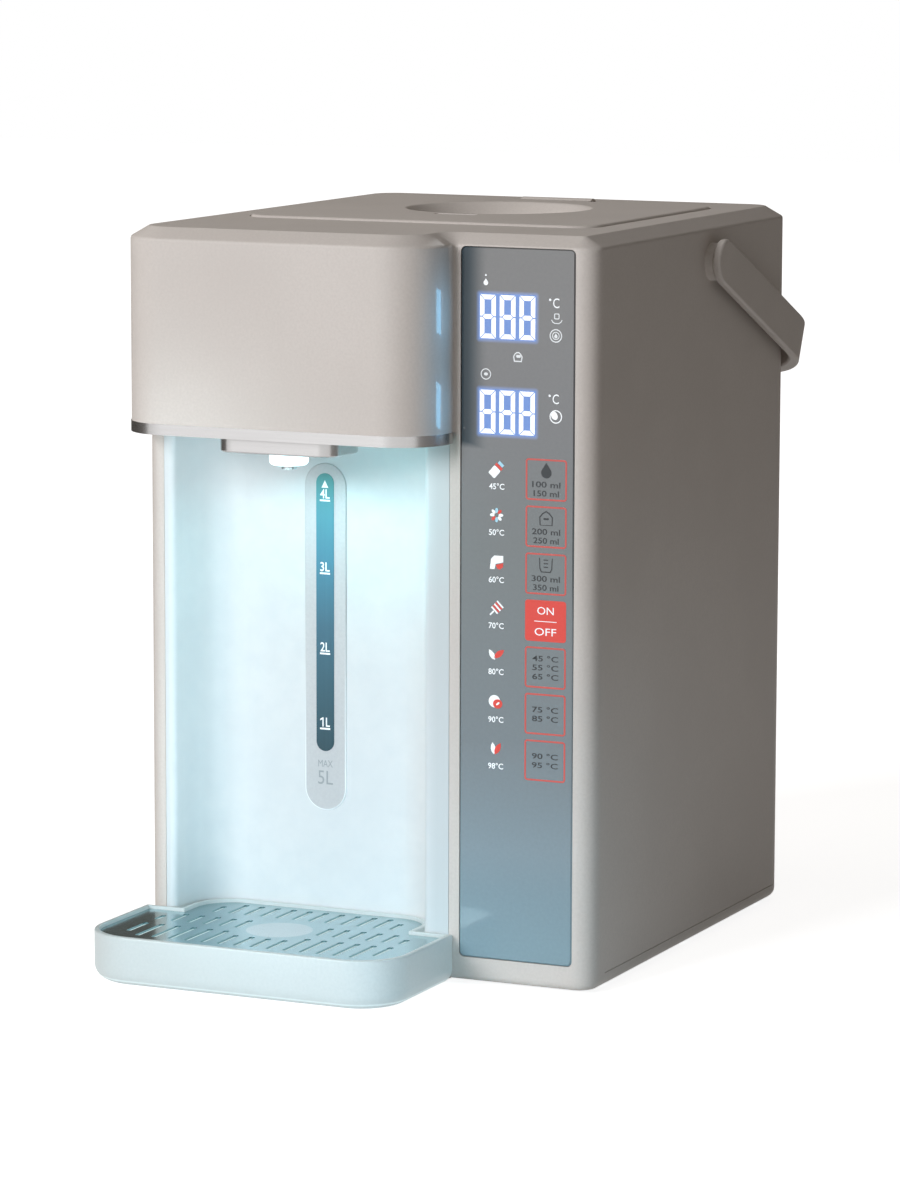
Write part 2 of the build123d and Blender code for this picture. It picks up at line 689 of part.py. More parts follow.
def build_hinge_pin():
    reach = HINGE_HALF + 6.4
    return cross_rod(-reach, reach, HINGE_Y, HINGE_Z, HINGE_PIN_R)


# ------------------------------------------------------------------ handle

def build_hub(sign):
    inner = SIDE - WALL
    hub = cross_rod(SIDE, HUB_X, PIVOT_Y, PIVOT_Z, HUB_R)
    rim = [e for e in hub.edges() if abs(e.center().X - HUB_X) < 1e-3]
    hub = fillet(rim, 0.6)
    hub += cross_rod(inner, SIDE, PIVOT_Y, PIVOT_Z, 5)
    hub += cross_rod(inner - 2.5, inner, PIVOT_Y, PIVOT_Z, HUB_R)
    hub -= cross_rod(inner - 3, HUB_X + 1, PIVOT_Y, PIVOT_Z, PIN_R)
    return hub if sign > 0 else mirror(hub, about=Plane.YZ)


def build_pivot_pins():
    inner = SIDE - WALL - 2.5
    pin = cross_rod(inner, ARM_IN + 2.6, PIVOT_Y, PIVOT_Z, PIN_R)
    pin += cross_rod(inner - 2, inner, PIVOT_Y, PIVOT_Z, 4.5)
    return group([pin, mirror(pin, about=Plane.YZ)])


def build_handle():
    """The strap is drawn with its arms along +Y from the pivot, then tilted to its rest angle."""
    start = -ARM_HALF_H
    outer = rounded_polygon([(-ARM_OUT, start, 0), (ARM_OUT, start, 0),
                             (ARM_OUT, HANDLE_LEN, GRIP_R), (-ARM_OUT, HANDLE_LEN, GRIP_R)])
    inside_end = HANDLE_LEN - GRIP_T
    inner = rounded_polygon([(-ARM_IN, start - 5, 0), (ARM_IN, start - 5, 0),
                             (ARM_IN, inside_end, GRIP_R - 4), (-ARM_IN, inside_end, GRIP_R - 4)])
    strap = prism(outer, -ARM_HALF_H, ARM_HALF_H) - prism(inner, -ARM_HALF_H - 1, ARM_HALF_H + 1)
    side = cross_rod(-ARM_OUT - 1, ARM_OUT + 1, 0, 0, ARM_HALF_H)
    side += block(-ARM_OUT - 1, ARM_OUT + 1, 0, HANDLE_LEN + 1, -ARM_HALF_H, ARM_HALF_H)
    strap &= side
    outer_rim = [e for e in strap.edges()
                 if abs(abs(e.center().Z) - ARM_HALF_H) < 0.01 and e.bounding_box().size.Z < 0.01]
    strap = fillet(outer_rim, 1.4)
    for sign in (-1, 1):
        strap -= cross_rod(min(sign * ARM_IN - sign, sign * (ARM_IN + 2.8)),
                           max(sign * ARM_IN - sign, sign * (ARM_IN + 2.8)), 0, 0, PIN_R + RUNNING_FIT)
    return Pos(0, PIVOT_Y, PIVOT_Z) * Rot(HANDLE_TILT, 0, 0) * strap


# ------------------------------------------------------------------ drip tray

def tray_plan(shrink=0.0):
    """The tray's outline in front of the body."""
    return rounded_polygon([
        (TRAY_X0 + shrink, TRAY_FRONT + shrink, TRAY_R - shrink),
        (TRAY_X1 - shrink, TRAY_FRONT + shrink, TRAY_R - shrink),
        (TRAY_X1 - shrink, FRONT - TRAY_GAP - shrink, 0),
        (TRAY_X0 + shrink, FRONT - TRAY_GAP - shrink, 0),
    ])


def tongue_plan(shrink=0.0):
    """The tray's tongue, which reaches into the niche."""
    half = NICHE_HALF - NICHE_LIP_R - TRAY_GAP - shrink
    back = NICHE_FLOOR - TRAY_GAP - shrink
    return rounded_polygon([
        (BAY_CX - half, FRONT - 10, 0),
        (BAY_CX + half, FRONT - 10, 0),
        (BAY_CX + half, back, NICHE_R - 2 - shrink),
        (BAY_CX - half, back, NICHE_R - 2 - shrink),
    ])


def build_tray():
    front = prism(tray_plan(), 0, TRAY_H)
    low_rim = [e for e in front.edges() if abs(e.center().Z) < 1e-3 and e.bounding_box().size.Z < 1e-3
               and e.center().Y < FRONT - TRAY_GAP - 1]
    front = fillet(low_rim, TRAY_FOOT_R)
    shelf = BASE_TOP + 0.3
    tray = front + prism(tongue_plan(), shelf, TRAY_H)
    high_rim = top_edges(tray, TRAY_H)
    tray = fillet(high_rim, 0.8)
    t = TRAY_T
    basin = prism(tray_plan(t), TRAY_FOOT_R, TRAY_H + 1) + prism(tray_plan(t + 4), t, TRAY_FOOT_R)
    basin += prism(tongue_plan(t), shelf + t, TRAY_H + 1)
    tray -= basin
    tray += tray_ledges()
    return tray


def tray_ledges():
    """Small brackets inside the rim that carry the grille."""
    under = GRILLE_Z
    t = TRAY_T
    ledges = block(TRAY_X0 + t - 0.2, TRAY_X0 + t + 3, -170, -140, under - 3, under)
    ledges += block(TRAY_X1 - t - 3, TRAY_X1 - t + 0.2, -170, -140, under - 3, under)
    ledges += block(BAY_CX - 50, BAY_CX - 20, TRAY_FRONT + t - 0.2, TRAY_FRONT + t + 3, under - 3, under)
    ledges += block(BAY_CX + 20, BAY_CX + 50, TRAY_FRONT + t - 0.2, TRAY_FRONT + t + 3, under - 3, under)
    back = NICHE_FLOOR - TRAY_GAP - t
    ledges += block(BAY_CX - 30, BAY_CX + 30, back - 3, back + 0.2, under - 3, under)
    return ledges


def grille_slots():
    """Three rows of slots that run front to back and stop short of the round cup rest."""
    slots = []
    clear = REST_R + SLOT_W
    for middle, length, columns in SLOT_ROWS:
        for i in range(columns):
            x = (i + 0.5) * SLOT_PITCH
            y0 = middle - length / 2
            y1 = middle + length / 2
            if i == columns - 1 and middle < REST_Y:
                y0 += SLOT_CUT
            elif i == columns - 1:
                y1 -= SLOT_CUT
            if x < clear and y0 < REST_Y - clear:
                y1 = min(y1, REST_Y - clear)
            elif x < clear and y0 < REST_Y + clear:
                continue
            for side in (-1, 1):
                place = Pos(BAY_CX + side * x, (y0 + y1) / 2)
                slots.append(place * SlotOverall(y1 - y0, SLOT_W, rotation=90))
    return slots


def build_grille():
    shrink = TRAY_T + GRILLE_GAP
    face = tray_plan(shrink) + tongue_plan(shrink)
    z1 = GRILLE_Z + GRILLE_T
    plate = prism(face, GRILLE_Z, z1)
    plate -= prism(Sketch() + grille_slots(), GRILLE_Z - 1, z1 + 1)
    sphere_r = (REST_R ** 2 + REST_DIP ** 2) / (2 * REST_DIP)
    return plate - Pos(BAY_CX, REST_Y, z1 - REST_DIP + sphere_r) * Sphere(sphere_r)


# ------------------------------------------------------------------ base and electrics

def build_base():
    plate = prism(offset(body_outline(), amount=-WALL - SEAM), FOOT_H, BASE_TOP)
    plate = chamfer(top_edges(plate, FOOT_H), 0.8)
    plate += block(BAY_X0 + SEAM, BAY_X1 - SEAM, FRONT, 0, FOOT_H, BASE_TOP)
    for sx in (-1, 1):
        for sy in (-1, 1):
            plate -= rod(sx * FOOT_AT, sy * FOOT_AT, FOOT_H - 1, FOOT_H + 1, FOOT_R)
    for x, y in post_places():
        plate -= rod(x, y, FOOT_H - 1, FOOT_H + 1.9, SCREW_HEAD_R + 0.1)
        plate -= rod(x, y, FOOT_H - 1, BASE_TOP + 1, SCREW_R)
    for i in range(9):
        plate -= block(-40 + 10 * i - 1.5, -40 + 10 * i + 1.5, 96, 114, FOOT_H - 1, BASE_TOP + 1)
        plate -= block(-40 + 10 * i - 1.5, -40 + 10 * i + 1.5, -28, -8, FOOT_H - 1, BASE_TOP + 1)
    return plate


def build_feet():
    feet = []
    for sx in (-1, 1):
        for sy in (-1, 1):
            foot = rod(sx * FOOT_AT, sy * FOOT_AT, 0, FOOT_H + 1, FOOT_R)
            rim = [e for e in foot.edges() if abs(e.center().Z) < 1e-3]
            feet.append(fillet(rim, 0.6))
    return group(feet)


def build_base_screws():
    screws = []
    for x, y in post_places():
        screw = rod(x, y, FOOT_H + 0.2, FOOT_H + 1.9, SCREW_HEAD_R)
        screw -= block(x - 2, x + 2, y - 0.4, y + 0.4, FOOT_H, FOOT_H + 0.9)
        screw -= block(x - 0.4, x + 0.4, y - 2, y + 2, FOOT_H, FOOT_H + 0.9)
        screws.append(screw + rod(x, y, FOOT_H + 1.9, 18, SCREW_R))
    return group(screws)


def build_inlet():
    x = INLET_X
    z = INLET_Z
    flange = upright_plate(x - 17, x + 17, z - 13, z + 13, REAR, REAR + 1.6, 3)
    body = block(x - INLET_W / 2, x + INLET_W / 2, REAR - 19, REAR, z - INLET_H / 2, z + INLET_H / 2)
    socket = flange + body
    return socket - block(x - 11.5, x + 11.5, REAR - 15, REAR + 2, z - 7.5, z + 7.5)


def build_inlet_pins():
    pins = []
    for dx, dz in ((-7, -1.5), (7, -1.5), (0, 2.5)):
        x = INLET_X + dx
        z = INLET_Z + dz
        pins.append(block(x - 1, x + 1, REAR - 15, REAR - 2, z - 2, z + 2))
    return group(pins)


BOARD_X = 48.0
BOARD_Y0 = 24.0
BOARD_Y1 = 92.0
BOARD_Z = 13.0
BOARD_T = 1.6


def board_corners():
    return [(x, y) for x in (-BOARD_X + 4, BOARD_X - 4) for y in (BOARD_Y0 + 4, BOARD_Y1 - 4)]


def build_power_board():
    board = block(-BOARD_X, BOARD_X, BOARD_Y0, BOARD_Y1, BOARD_Z, BOARD_Z + BOARD_T)
    for x, y in board_corners():
        board -= rod(x, y, BOARD_Z - 1, BOARD_Z + 3, 1.5)
    return board


def build_board_posts():
    return group([
        rod(x, y, BASE_TOP, BOARD_Z, 3) + rod(x, y, BOARD_Z, BOARD_Z + BOARD_T + 1, 1.5) for x, y in board_corners()
    ])


def build_board_parts():
    z = BOARD_Z + BOARD_T
    return group([
        block(-38, -10, 46, 70, z, z + 22),
        rod(4, 74, z, z + 24, 7),
        rod(22, 74, z, z + 20, 6),
        block(12, 34, 40, 56, z, z + 16),
        block(-10, 6, 30, 38, z, z + 10),
        block(-34, -14, 30, 34, z, z + 26),
    ])


PARTS = {
    "housing_shell": build_housing,
    "bay_panel": build_bay_panel,
    "level_window_bezel": build_window_bezel,
    "level_window_lens": build_window_lens,
    "head_trim_band": build_band,
    "head_floor_plate": build_head_floor,
    "nozzle_block": build_nozzle_block,
    "light_lens": build_light_lens,
    "outlet_nozzle": build_nozzle,
    "bay_light_board": build_light_board,
    "control_glass": build_glass,
    "touch_board": build_touch_board,
    "display_upper": lambda: build_display(292),
    "display_lower": lambda: build_display(250),
    "water_tank": build_tank,
    "tank_gasket": build_tank_gasket,
    "tank_collar": build_collar,
    "heater_plate": build_heater,
    "thermostats": build_thermostats,
    "temperature_sensor": build_temperature_sensor,
    "tank_cradle": build_cradle,
    "pump_casing": build_pump_casing,
    "pump_impeller": build_impeller,
    "motor_can": build_motor_can,
    "motor_rotor": build_motor_rotor,
    "motor_pad": build_motor_pad,
    "suction_hose": build_suction_hose,
    "lower_delivery_hose": build_lower_hose,
    "level_riser_tube": build_riser,
    "upper_delivery_hose": build_upper_hose,
    "lid_cover": build_lid_cover,
    "steam_vent_insert": build_vent_insert,
    "lid_inner_plate": build_lid_inner,
    "lid_seal": build_lid_seal,
    "lid_hinge_pin": build_hinge_pin,
    "handle_hub_right": lambda: build_hub(1),
    "handle_hub_left": lambda: build_hub(-1),
    "handle_pivot_pins": build_pivot_pins,
    "carry_handle": build_handle,
    "drip_tray": build_tray,
    "tray_grille": build_grille,
    "base_plate": build_base,
    "rubber_feet": build_feet,
    "base_screws": build_base_screws,
    "inlet_socket": build_inlet,
    "inlet_pins": build_inlet_pins,
    "power_board": build_power_board,
    "board_posts": build_board_posts,
    "board_parts": build_board_parts,
}

for name, build in PARTS.items():
    export_step(Pos(0, TO_FOOTPRINT_Y, 0) * build(), f"parts/{name}.step")
    print(name)
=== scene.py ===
# %% [markdown]
# # An electric thermo pot
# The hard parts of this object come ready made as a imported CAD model. Blender's work here is what the
# eye sees: the finish of every surface, the print on the touch glass, the lit bay, the lamps and the
# camera. All sizes are in metres, and a helper turns millimetres into them.

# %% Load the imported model
import bpy
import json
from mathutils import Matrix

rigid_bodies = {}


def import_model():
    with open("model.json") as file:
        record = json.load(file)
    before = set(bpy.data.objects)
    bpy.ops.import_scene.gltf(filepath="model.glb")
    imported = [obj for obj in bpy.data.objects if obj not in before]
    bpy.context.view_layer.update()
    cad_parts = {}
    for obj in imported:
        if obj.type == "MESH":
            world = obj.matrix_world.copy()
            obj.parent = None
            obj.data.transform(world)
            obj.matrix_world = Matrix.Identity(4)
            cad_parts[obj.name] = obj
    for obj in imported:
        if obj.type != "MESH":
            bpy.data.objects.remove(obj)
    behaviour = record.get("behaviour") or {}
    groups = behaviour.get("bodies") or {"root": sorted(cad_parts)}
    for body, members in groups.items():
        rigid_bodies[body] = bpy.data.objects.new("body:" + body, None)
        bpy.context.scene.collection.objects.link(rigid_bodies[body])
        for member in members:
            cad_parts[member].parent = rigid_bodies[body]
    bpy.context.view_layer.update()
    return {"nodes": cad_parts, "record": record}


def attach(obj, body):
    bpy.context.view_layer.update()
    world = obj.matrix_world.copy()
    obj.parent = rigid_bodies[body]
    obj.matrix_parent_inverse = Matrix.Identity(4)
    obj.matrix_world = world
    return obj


for leftover in list(bpy.data.objects):
    bpy.data.objects.remove(leftover)
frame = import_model()

# %% Units and the other imports
import json
import math
import bmesh
from mathutils import Matrix, Vector

MM = 0.001


def placed(name, data):
    """A new object in the scene, which shows the data under the name."""
    made = bpy.data.objects.new(name, data)
    bpy.context.scene.collection.objects.link(made)
    return made


print("one millimetre is", MM, "m")

# %% [markdown]
# ## Camera
# A product shot of a box looks right when the verticals stay almost upright, which takes a long lens
# from a low place. The camera is set by a point it stands at, a point it looks at and a small roll, so
# its three axes can be worked out with cross products.

# %% Camera
CAMERA_AT = Vector((0.92896, -2.04949, 0.49656))
CAMERA_AIM = Vector((0.01044, -0.0273, 0.16418))
CAMERA_ROLL = math.radians(0.152)
LENS_MM = 145.25
SENSOR_MM = 36.0


def place_camera():
    """Stands the camera at its place, turns it to its aim and rolls it a little."""
    forward = (CAMERA_AIM - CAMERA_AT).normalized()
    right = forward.cross(Vector((0, 0, 1))).normalized()
    up = right.cross(forward)
    x_axis = math.cos(CAMERA_ROLL) * right + math.sin(CAMERA_ROLL) * up
    y_axis = math.cos(CAMERA_ROLL) * up - math.sin(CAMERA_ROLL) * right
    data = bpy.data.cameras.new("studio_camera")
    data.lens = LENS_MM
    data.sensor_width = SENSOR_MM
    data.clip_end = 50
    camera = placed("studio_camera", data)
    facing = Matrix((x_axis, y_axis, -forward)).transposed().to_4x4()
    camera.matrix_world = Matrix.Translation(CAMERA_AT) @ facing
    bpy.context.scene.camera = camera
    return camera


camera = place_camera()
print("camera", tuple(round(v, 4) for v in camera.location))

# %% [markdown]
# ## Tools for materials
# Hex colours are how a designer names a colour, but the shader works in linear light, so one function
# turns the first into the second. Another adds a node, sets it and links it, which keeps each material
# short enough to read as a recipe. A pattern's scale is asked for as the real size of its features.

# %% Material helpers
def colour(code):
    """A sRGB hex colour as linear RGBA."""
    parts = [int(code[i:i + 2], 16) / 255 for i in (1, 3, 5)]
    return tuple(c / 12.92 if c <= 0.04045 else ((c + 0.055) / 1.055) ** 2.4 for c in parts) + (1.0,)


def wire(tree, node, settings=None, links=None):
    """Sets a node up. A setting is an input's value or a property; a link gives an input its source."""
    for key, value in (settings or {}).items():
        if isinstance(key, int) or key in node.inputs:
            node.inputs[key].default_value = value
        else:
            setattr(node, key, value)
    for key, source in (links or {}).items():
        tree.links.new(source, node.inputs[key])
    return node


def add(tree, kind, settings=None, links=None):
    """Adds a node and sets it up. The kind is its type's name, for a shader node without that prefix."""
    full_name = kind if "Node" in kind else "ShaderNode" + kind
    return wire(tree, tree.nodes.new(full_name), settings, links)


def start(name):
    """A new material, with its tree, its shader and its object coordinates."""
    material = bpy.data.materials.new(name)
    material.use_nodes = True
    tree = material.node_tree
    tree.nodes.clear()
    shader = add(tree, "BsdfPrincipled")
    add(tree, "OutputMaterial", links={"Surface": shader.outputs[0]})
    place = add(tree, "TexCoord").outputs["Object"]
    return material, tree, shader, place


def per_metre(size_mm):
    """The texture scale whose features are about that many millimetres across."""
    return 1.0 / (size_mm * MM)


def span(low_mm, high_mm, start_at=0.0, end_at=1.0):
    """The settings that turn a stretch of a coordinate, given in millimetres, into a ramp."""
    return {"From Min": low_mm * MM, "From Max": high_mm * MM, "To Min": start_at, "To Max": end_at}


print("white", colour("#ffffff"))

# %% [markdown]
# ## Moulded plastic
# The housing of a kitchen appliance is ABS, shot into a steel mould. Where the mould is spark-eroded
# the surface comes out finely matt, and where it is polished the surface is glossy with a faint
# orange peel. Both need the same three things: a tone that drifts slightly as the melt cools, a
# roughness that isn't quite even, and a fine relief. The real grain is about 0.2 mm, too fine to show at
# this distance, so it is drawn at a little over a millimetre.

# %% Moulded plastic
DRIFT_MM = 70.0


def moulded(name, tone, shade, roughness, grain_mm, relief_mm, spread=0.05, specular=0.5, glow=None):
    """A plastic skin. The spread is how far its roughness strays, and a glow is a colour and a strength."""
    material, tree, shader, place = start(name)
    drift = add(tree, "TexNoise", {"Scale": per_metre(DRIFT_MM), "Detail": 2.0}, {"Vector": place})
    grain = add(tree, "TexNoise", {"Scale": per_metre(grain_mm), "Detail": 3.0}, {"Vector": place})
    blend = add(tree, "Math", {"operation": "MULTIPLY"},
                {0: drift.outputs["Fac"], 1: grain.outputs["Fac"]})
    # The product of two noises lies mostly between these two values, so they become the two tones.
    tones = add(tree, "MapRange", {"From Min": 0.12, "From Max": 0.38}, {"Value": blend.outputs[0]})
    mix = add(tree, "Mix", {"data_type": "RGBA", 6: colour(shade), 7: colour(tone)}, {0: tones.outputs[0]})
    rough = add(tree, "MapRange", {"From Min": 0.3, "From Max": 0.7, "To Min": roughness - spread,
                                   "To Max": roughness + spread}, {"Value": grain.outputs["Fac"]})
    bump = add(tree, "Bump", {"Strength": 0.5, "Distance": relief_mm * MM},
               {"Height": grain.outputs["Fac"]})
    wire(tree, shader, {"Specular IOR Level": specular},
         {"Base Color": mix.outputs[2], "Roughness": rough.outputs[0], "Normal": bump.outputs[0]})
    if glow:
        wire(tree, shader, {"Emission Color": colour(glow[0]), "Emission Strength": glow[1]})
    return material


print("plastics drift in tone over", DRIFT_MM, "mm")

# %% [markdown]
# ## Metals
# Sheet metal and turned metal carry the marks of how they were finished. Brushing and rolling leave
# fine lines in one direction, so the noise is squeezed across that direction and stretched along it.
# Real brush lines are a few hundredths of a millimetre apart; they are drawn a few tenths apart here, so
# that they show as a soft streak rather than as an even grey.

# %% Metals
LINE_STRETCH = 60.0


def brushed(name, tone, shade, roughness, line_mm, along, relief_mm=0.01, spread=0.07):
    """A metal skin with lines along one axis, which are so many times longer than they are wide."""
    material, tree, shader, place = start(name)
    scale = [per_metre(line_mm)] * 3
    scale["XYZ".index(along)] /= LINE_STRETCH
    lines_at = add(tree, "Mapping", {"Scale": scale}, {"Vector": place})
    lines = add(tree, "TexNoise", {"Scale": 1.0, "Detail": 3.0}, {"Vector": lines_at.outputs[0]})
    mix = add(tree, "Mix", {"data_type": "RGBA", 6: colour(shade), 7: colour(tone)},
              {0: lines.outputs["Fac"]})
    rough = add(tree, "MapRange", {"To Min": roughness - spread, "To Max": roughness + spread},
                {"Value": lines.outputs["Fac"]})
    bump = add(tree, "Bump", {"Strength": 0.3, "Distance": relief_mm * MM},
               {"Height": lines.outputs["Fac"]})
    wire(tree, shader, {"Metallic": 1.0},
         {"Base Color": mix.outputs[2], "Roughness": rough.outputs[0], "Normal": bump.outputs[0]})
    return material


print("metal lines are", LINE_STRETCH, "times as long as wide")

# %% [markdown]
# ## Rubber, silicone and circuit boards
# Soft parts are cast or pressed: dull, with a slightly cloudy tone. A circuit board is woven glass under
# a thin green lacquer, so its weave shows as a faint grid. The real threads lie about half a millimetre
# apart, which would drown in the render's grain, so the grid is drawn nearly twice as coarse.

# %% Soft and woven finishes
WEAVE_MM = 0.9


def cast_soft(name, tone, shade, roughness, cloud_mm, transmission=0.0):
    """A cast or pressed skin, cloudy in tone and roughness, which may let light through."""
    material, tree, shader, place = start(name)
    cloud = add(tree, "TexNoise", {"Scale": per_metre(cloud_mm), "Detail": 4.0}, {"Vector": place})
    mix = add(tree, "Mix", {"data_type": "RGBA", 6: colour(shade), 7: colour(tone)},
              {0: cloud.outputs["Fac"]})
    rough = add(tree, "MapRange", {"To Min": roughness - 0.1, "To Max": roughness + 0.1},
                {"Value": cloud.outputs["Fac"]})
    wire(tree, shader, {"Transmission Weight": transmission},
         {"Base Color": mix.outputs[2], "Roughness": rough.outputs[0]})
    return material


def lacquered_board(name, tone, shade):
    """Green lacquer over a woven glass board."""
    material, tree, shader, place = start(name)
    weave = add(tree, "TexChecker", {"Scale": per_metre(WEAVE_MM), "Color1": colour(tone),
                                     "Color2": colour(shade)}, {"Vector": place})
    bump = add(tree, "Bump", {"Strength": 0.2, "Distance": 0.02 * MM}, {"Height": weave.outputs["Fac"]})
    wire(tree, shader, {"Roughness": 0.35}, {"Base Color": weave.outputs["Color"], "Normal": bump.outputs[0]})
    return material


print("weave squares", WEAVE_MM, "mm")

# %% [markdown]
# ## The touch glass
# The strip is tempered glass with paint on its back. The eye sees a flat grey that turns slightly blue
# towards the foot, under a sharp reflection; the blue at the foot is a painted reflection of the cyan light
# below it. Light from the two displays leaks around them in the glass, so the paint glows blue in two soft
# rectangles. The metallic flake in such paint makes the strip mirror more than bare glass does, which the
# coat's higher IOR gives. The distance to each rectangle is worked out from the object coordinates, and the
# glow falls off with it. The head stands close beside the upper part and keeps the light off its left edge,
# so the strip gets darker there and mirrors less. The flake thins out towards the foot, where the tray would
# otherwise stand in the glass as a second tray.

# %% Touch glass
DISPLAYS = [(56.4, 83.4, 293.8, 313.6), (56.4, 83.4, 251.5, 271.3)]
HALO_MM = 2.2
PAINT_Z = (20.0, 330.0)
# The bluish tones at the foot of this ramp are a painted reflection of cyan light from below.
PAINT_AND_REFLECTION_STOPS = [(0.0, "#8ba3ac"), (0.14, "#8798a0"), (0.3, "#65747b"), (0.58, "#626b6d"), (0.75, "#67696c"),
               (1.0, "#6e6e6e")]
SHADE_X = (49.5, 61.0)
HEAD_Z = (247.5, 244.5)
FLAKE_Z = (45.0, 110.0)
SPECK_MM = 1.5


def set_stops(ramp, stops):
    """Fills a colour ramp with stops, each a place between 0 and 1 and a hex colour."""
    ramp.elements[0].color = colour(stops[0][1])
    ramp.elements[1].color = colour(stops[-1][1])
    for at, code in stops[1:-1]:
        ramp.elements.new(at).color = colour(code)


def box_distance(tree, place, window, seen="XZ"):
    """The distance in metres from a point to a rectangle, measured along two of the axes."""
    x0, x1, z0, z1 = [v * MM for v in window]
    axes = add(tree, "SeparateXYZ", links={0: place})
    outside = []
    for output, low, high in ((seen[0], x0, x1), (seen[1], z0, z1)):
        off = add(tree, "Math", {"operation": "SUBTRACT", 1: (low + high) / 2}, {0: axes.outputs[output]})
        size = add(tree, "Math", {"operation": "ABSOLUTE"}, {0: off.outputs[0]})
        past = add(tree, "Math", {"operation": "SUBTRACT", 1: (high - low) / 2}, {0: size.outputs[0]})
        part = add(tree, "Math", {"operation": "MAXIMUM", 1: 0.0}, {0: past.outputs[0]})
        outside.append(part.outputs[0])
    flat = add(tree, "CombineXYZ", links={0: outside[0], 1: outside[1]})
    return add(tree, "VectorMath", {"operation": "LENGTH"}, {0: flat.outputs[0]}).outputs["Value"]


def back_painted_glass(name):
    """Paint behind tempered glass, with a painted reflection at its foot, lit around the displays and shaded
    beside the head.
    """
    material, tree, shader, place = start(name)
    axes = add(tree, "SeparateXYZ", links={0: place})
    height = add(tree, "MapRange", span(*PAINT_Z), {"Value": axes.outputs["Z"]})
    paint = add(tree, "ValToRGB", links={0: height.outputs[0]})
    set_stops(paint.color_ramp, PAINT_AND_REFLECTION_STOPS)
    speck = add(tree, "TexNoise", {"Scale": per_metre(SPECK_MM), "Detail": 2.0}, {"Vector": place})
    flecked = add(tree, "Mix", {"data_type": "RGBA", "blend_type": "MULTIPLY", 7: colour("#f2f2f2")},
                  {0: speck.outputs["Fac"], 6: paint.outputs[0]})
    fading = {**span(0.0, HALO_MM, 1.0, 0.0), "interpolation_type": "SMOOTHERSTEP"}
    upper, lower = [add(tree, "MapRange", fading, {"Value": box_distance(tree, place, window)})
                    for window in DISPLAYS]
    halo = add(tree, "Math", {"operation": "MAXIMUM"}, {0: upper.outputs[0], 1: lower.outputs[0]})
    beside = add(tree, "MapRange", {**span(*SHADE_X), "interpolation_type": "SMOOTHSTEP"},
                 {"Value": axes.outputs["X"]})
    below = add(tree, "MapRange", span(*HEAD_Z), {"Value": axes.outputs["Z"]})
    clear = add(tree, "Math", {"operation": "MAXIMUM"}, {0: beside.outputs[0], 1: below.outputs[0]})
    shaded = add(tree, "Mix", {"data_type": "RGBA", 6: colour("#33424a")},
                 {0: clear.outputs[0], 7: flecked.outputs[2]})
    flake = add(tree, "MapRange", span(*FLAKE_Z, 0.1, 1.0), {"Value": axes.outputs["Z"]})
    mirror = add(tree, "Math", {"operation": "MULTIPLY"}, {0: clear.outputs[0], 1: flake.outputs[0]})
    bare = add(tree, "MapRange", span(*FLAKE_Z, 0.1, 0.5), {"Value": axes.outputs["Z"]})
    glow = add(tree, "Mix", {"data_type": "RGBA", 6: colour("#000000"), 7: colour("#4f7fd0")},
               {0: halo.outputs[0]})
    rough = add(tree, "MapRange", {"To Min": 0.05, "To Max": 0.09}, {"Value": speck.outputs["Fac"]})
    wire(tree, shader, {"IOR": 1.52, "Coat IOR": 1.9, "Coat Roughness": 0.12, "Emission Strength": 0.6},
         {"Base Color": shaded.outputs[2], "Roughness": rough.outputs[0], "Coat Weight": mirror.outputs[0],
          "Specular IOR Level": bare.outputs[0], "Emission Color": glow.outputs[2]})
    return material


print("paint", len(PAINT_AND_REFLECTION_STOPS), "tones from", PAINT_Z[0], "to", PAINT_Z[1], "mm")

# %% [markdown]
# ## Window and lamp lens
# The level window is a clear tinted strip over a dark slot. Daylight and the bay lamp get into its upper
# end, so it runs from pale teal at the top to a smoky blue at the foot. The strip is drawn upwards as it
# is made, which leaves faint upright streaks about a millimetre wide. The lamp lens is opal plastic: it
# glows evenly, and turns from white to pale cyan towards its rim.

# %% Window and lamp lens
WINDOW_STOPS = [(0.0, "#31505a"), (0.22, "#3b6270"), (0.45, "#467386"), (0.68, "#4d8da3"), (0.86, "#5699a6"),
                (1.0, "#58a09e")]
WINDOW_Z = (96.3, 225.6)
# The texture's scale along X, Y and Z, per metre.
STREAK_SCALE = (900.0, 900.0, 12.0)


def tinted_window(name):
    """Clear plastic over a dark slot, lit from its upper end."""
    material, tree, shader, place = start(name)
    axes = add(tree, "SeparateXYZ", links={0: place})
    height = add(tree, "MapRange", span(*WINDOW_Z), {"Value": axes.outputs["Z"]})
    light = add(tree, "ValToRGB", links={0: height.outputs[0]})
    set_stops(light.color_ramp, WINDOW_STOPS)
    drawn = add(tree, "Mapping", {"Scale": STREAK_SCALE}, {"Vector": place})
    streak = add(tree, "TexNoise", {"Scale": 1.0}, {"Vector": drawn.outputs[0]})
    tint = add(tree, "Mix", {"data_type": "RGBA", "blend_type": "MULTIPLY", 7: colour("#e6eef0")},
               {0: streak.outputs["Fac"], 6: light.outputs[0]})
    wire(tree, shader, {"Roughness": 0.08, "IOR": 1.49, "Emission Strength": 0.05},
         {"Base Color": tint.outputs[2], "Emission Color": tint.outputs[2]})
    return material


LENS_HEART = (-34.0, -105.3, 237.0)
LENS_RIM_MM = 12.0


